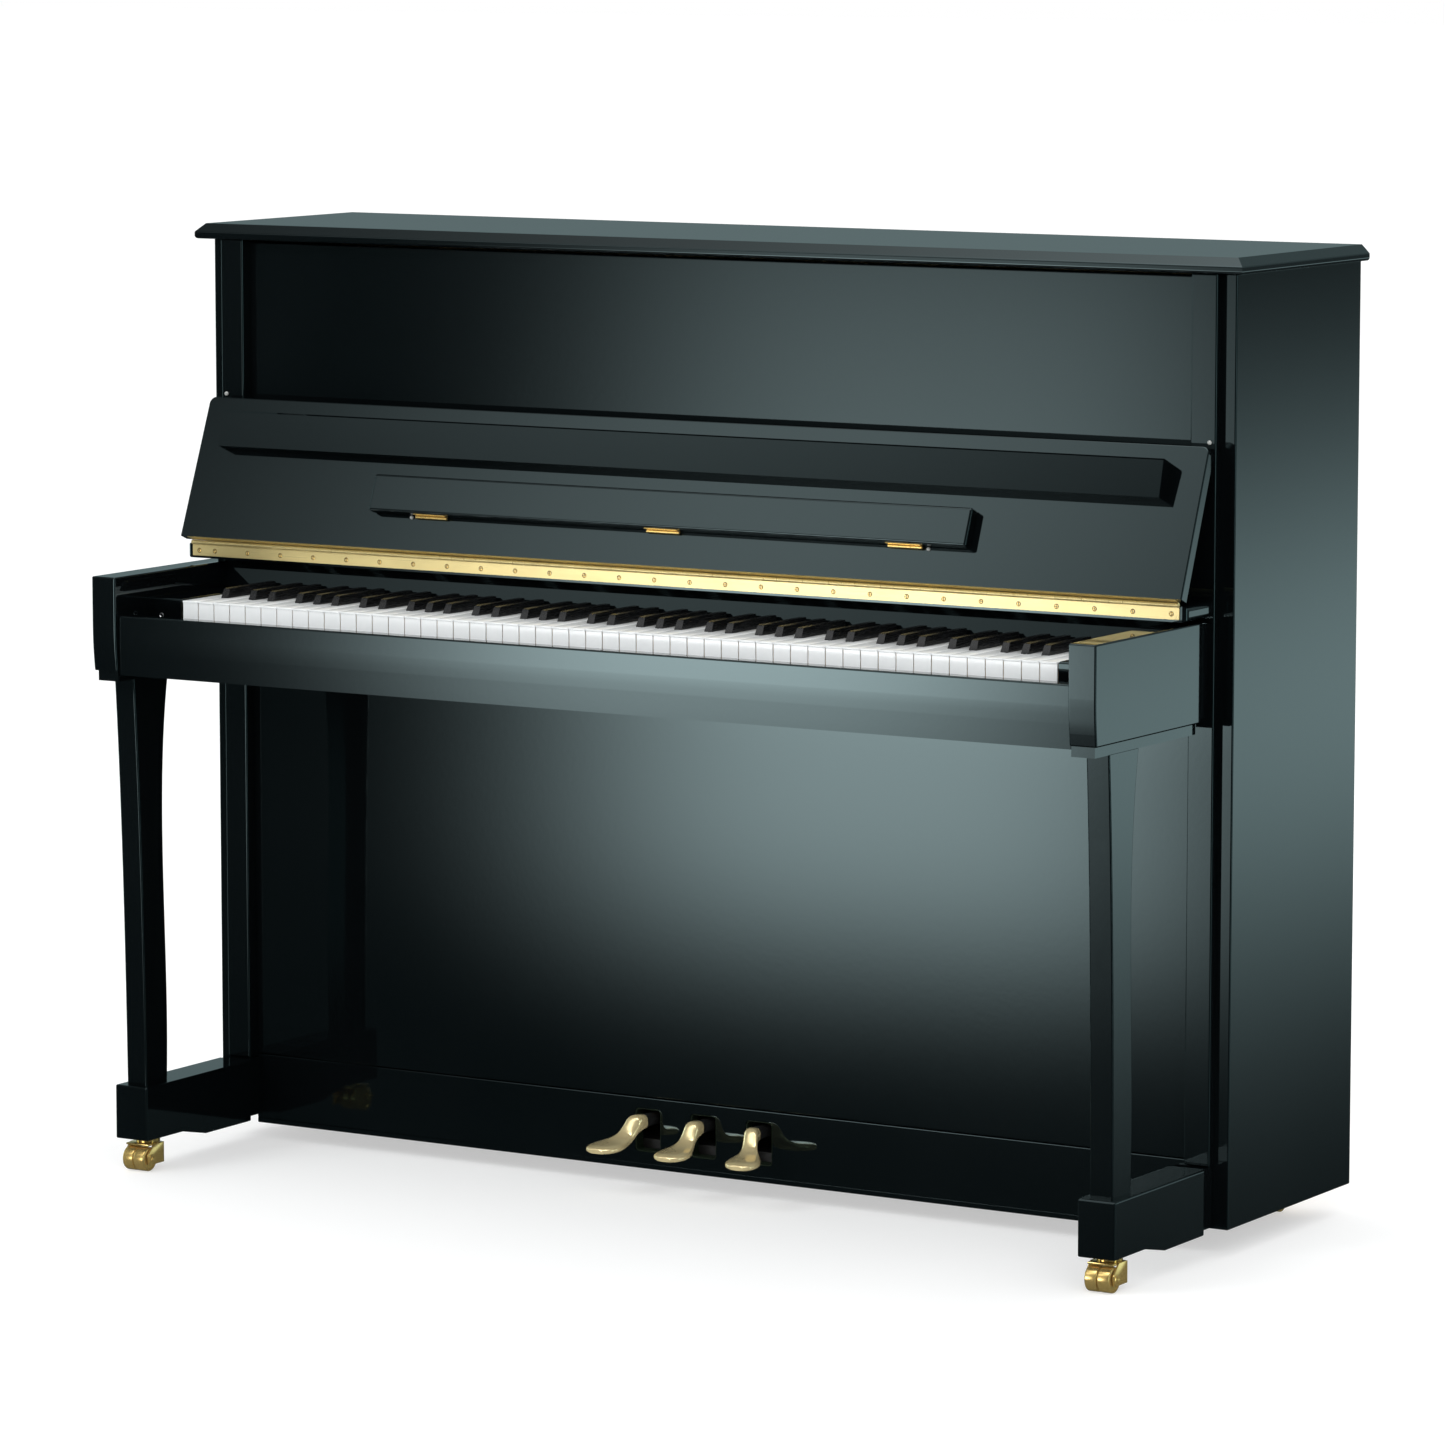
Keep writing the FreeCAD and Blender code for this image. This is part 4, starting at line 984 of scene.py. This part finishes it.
def studio_world():
    """White all round, but only a dim surround for polished surfaces, lighter behind the piano."""
    world = bpy.data.worlds.new("studio")
    world.use_nodes = True
    bpy.context.scene.world = world
    tree = world.node_tree
    tree.nodes.clear()
    output = tree.nodes.new("ShaderNodeOutputWorld")
    path = tree.nodes.new("ShaderNodeLightPath")
    direction = tree.nodes.new("ShaderNodeTexCoord")
    axes = tree.nodes.new("ShaderNodeSeparateXYZ")
    tree.links.new(direction.outputs["Generated"], axes.inputs[0])
    shares = []
    for axis, low, high in (("Y", -0.2, 0.7), ("Z", -0.05, 0.12)):
        share = tree.nodes.new("ShaderNodeMapRange")
        share.inputs["From Min"].default_value = low
        share.inputs["From Max"].default_value = high
        tree.links.new(axes.outputs[axis], share.inputs["Value"])
        shares.append(share.outputs["Result"])
    behind = tree.nodes.new("ShaderNodeMath")
    behind.operation = "MULTIPLY"
    tree.links.new(shares[0], behind.inputs[0])
    tree.links.new(shares[1], behind.inputs[1])
    ramp = tree.nodes.new("ShaderNodeMapRange")
    ramp.inputs["To Min"].default_value = 0.05
    ramp.inputs["To Max"].default_value = 0.30
    tree.links.new(behind.outputs["Value"], ramp.inputs["Value"])
    plain = tree.nodes.new("ShaderNodeBackground")
    plain.inputs["Strength"].default_value = 1.12
    shiny = tree.nodes.new("ShaderNodeBackground")
    tree.links.new(ramp.outputs["Result"], shiny.inputs["Strength"])
    seen = tree.nodes.new("ShaderNodeBackground")
    seen.inputs["Strength"].default_value = 1.0
    for node, tint in ((plain, (1, 1, 1, 1)), (shiny, (0.70, 0.97, 1, 1)), (seen, (1, 1, 1, 1))):
        node.inputs["Color"].default_value = tint
    first = tree.nodes.new("ShaderNodeMixShader")
    tree.links.new(path.outputs["Is Glossy Ray"], first.inputs[0])
    tree.links.new(plain.outputs[0], first.inputs[1])
    tree.links.new(shiny.outputs[0], first.inputs[2])
    second = tree.nodes.new("ShaderNodeMixShader")
    tree.links.new(path.outputs["Is Camera Ray"], second.inputs[0])
    tree.links.new(first.outputs[0], second.inputs[1])
    tree.links.new(seen.outputs[0], second.inputs[2])
    tree.links.new(second.outputs[0], output.inputs["Surface"])


def studio():
    studio_world()
    floor = bpy.data.meshes.new("floor")
    reach = 60.0
    floor.from_pydata([(-reach, -reach, 0), (reach, -reach, 0), (reach, reach, 0), (-reach, reach, 0)], [],
                      [(0, 1, 2, 3)])
    floor.materials.append(pale_floor())
    ground = bpy.data.objects.new("floor", floor)
    bpy.context.scene.collection.objects.link(ground)
    ground.visible_glossy = False
    cool = (0.74, 0.98, 1.0, 1.0)
    glow_card("front_low_card", (-1.48, -3.0, 0.09), (0, 1, 0), (1.8, 1.1), (0.64, 0.36), (2.7, 3.0), 5.2)
    glow_card("front_high_card", (-1.38, -3.02, 0.62), (0, 1, 0), (1.8, 1.6), (0.64, 0.55), (2.7, 2.0), 2.5)
    glow_card("slip_card", (-1.38, -3.01, 0.37), (0, 1, 0), (1.8, 0.6), (0.66, 0.14), (2.7, 2.0), 3.4)
    glow_card("fallboard_card", (-1.95, -3.04, 3.1), (0, 1, 0), (2.6, 2.4), (1.05, 0.95), (2.0, 2.0), 2.1)
    glow_card("right_card", (3.7, 6.0, -0.2), (-1, 0, 0), (5.0, 1.6), (3.4, 0.58), (4.0, 2.0), 1.38, cool)
    glow_card("left_card", (-3.7, 6.0, -0.2), (1, 0, 0), (5.0, 1.6), (3.4, 0.58), (4.0, 2.0), 1.38, cool)
    glow_card("right_rim_card", (4.4, -0.9, 0.9), (-1, 0.1, 0), (1.0, 2.0), (0.35, 1.5), (2.0, 4.0),
              5.0, cool)
    glow_card("left_rim_card", (-4.4, -0.9, 0.9), (1, 0.1, 0), (1.0, 2.0), (0.35, 1.5), (2.0, 4.0),
              5.0, cool)
    glow_card("overhead_card", (0.0, -1.6, 4.2), (0, 0, -1), (3.4, 3.4), (1.7, 1.7), (2.0, 2.0), 5.0)
    softbox("key_light", (-2.2, -3.6, 3.6), (0, 0, 0.5), 2.4, 60)
    softbox("fill_light", (3.4, -3.2, 2.6), (0, 0, 0.5), 2.4, 30)
    softbox("back_light", (0.5, 4.2, 3.0), (0, 0, 0.6), 2.4, 40)


def camera():
    """Three-quarter view from the front right, slightly above the keyboard."""
    data = bpy.data.cameras.new("camera")
    data.sensor_width = 36.0
    data.lens = 161.8
    view = bpy.data.objects.new("camera", data)
    bpy.context.scene.collection.objects.link(view)
    view.location = (4.1041, -6.7009, 1.6013)
    view.rotation_euler = (math.pi / 2 - 0.1288, 0, 0.5473)
    bpy.context.scene.camera = view


# ---------------------------------------------------------------- the whole scene
finish_nodes()
for node in NATURALS:
    natural_keys(node)
for node in SHARPS:
    sharp_keys(node)
for node in NATURALS + SHARPS:
    hammers("hammers_" + node)
for node in PEDALS:
    pedal(node)
slot_linings()
for side in ("left", "right"):
    wheel_pair("front_caster_wheels_" + side)
    wheel_pair("rear_caster_wheels_" + side)
    caster_fork("front_caster_fork_" + side)
hinge_screws()
lid_hinge_screws()
fallboard_fittings()
stile_buttons()
key_block_screws()
frame_bolts()
studio()
camera()
bpy.context.scene.view_settings.view_transform = "Standard"
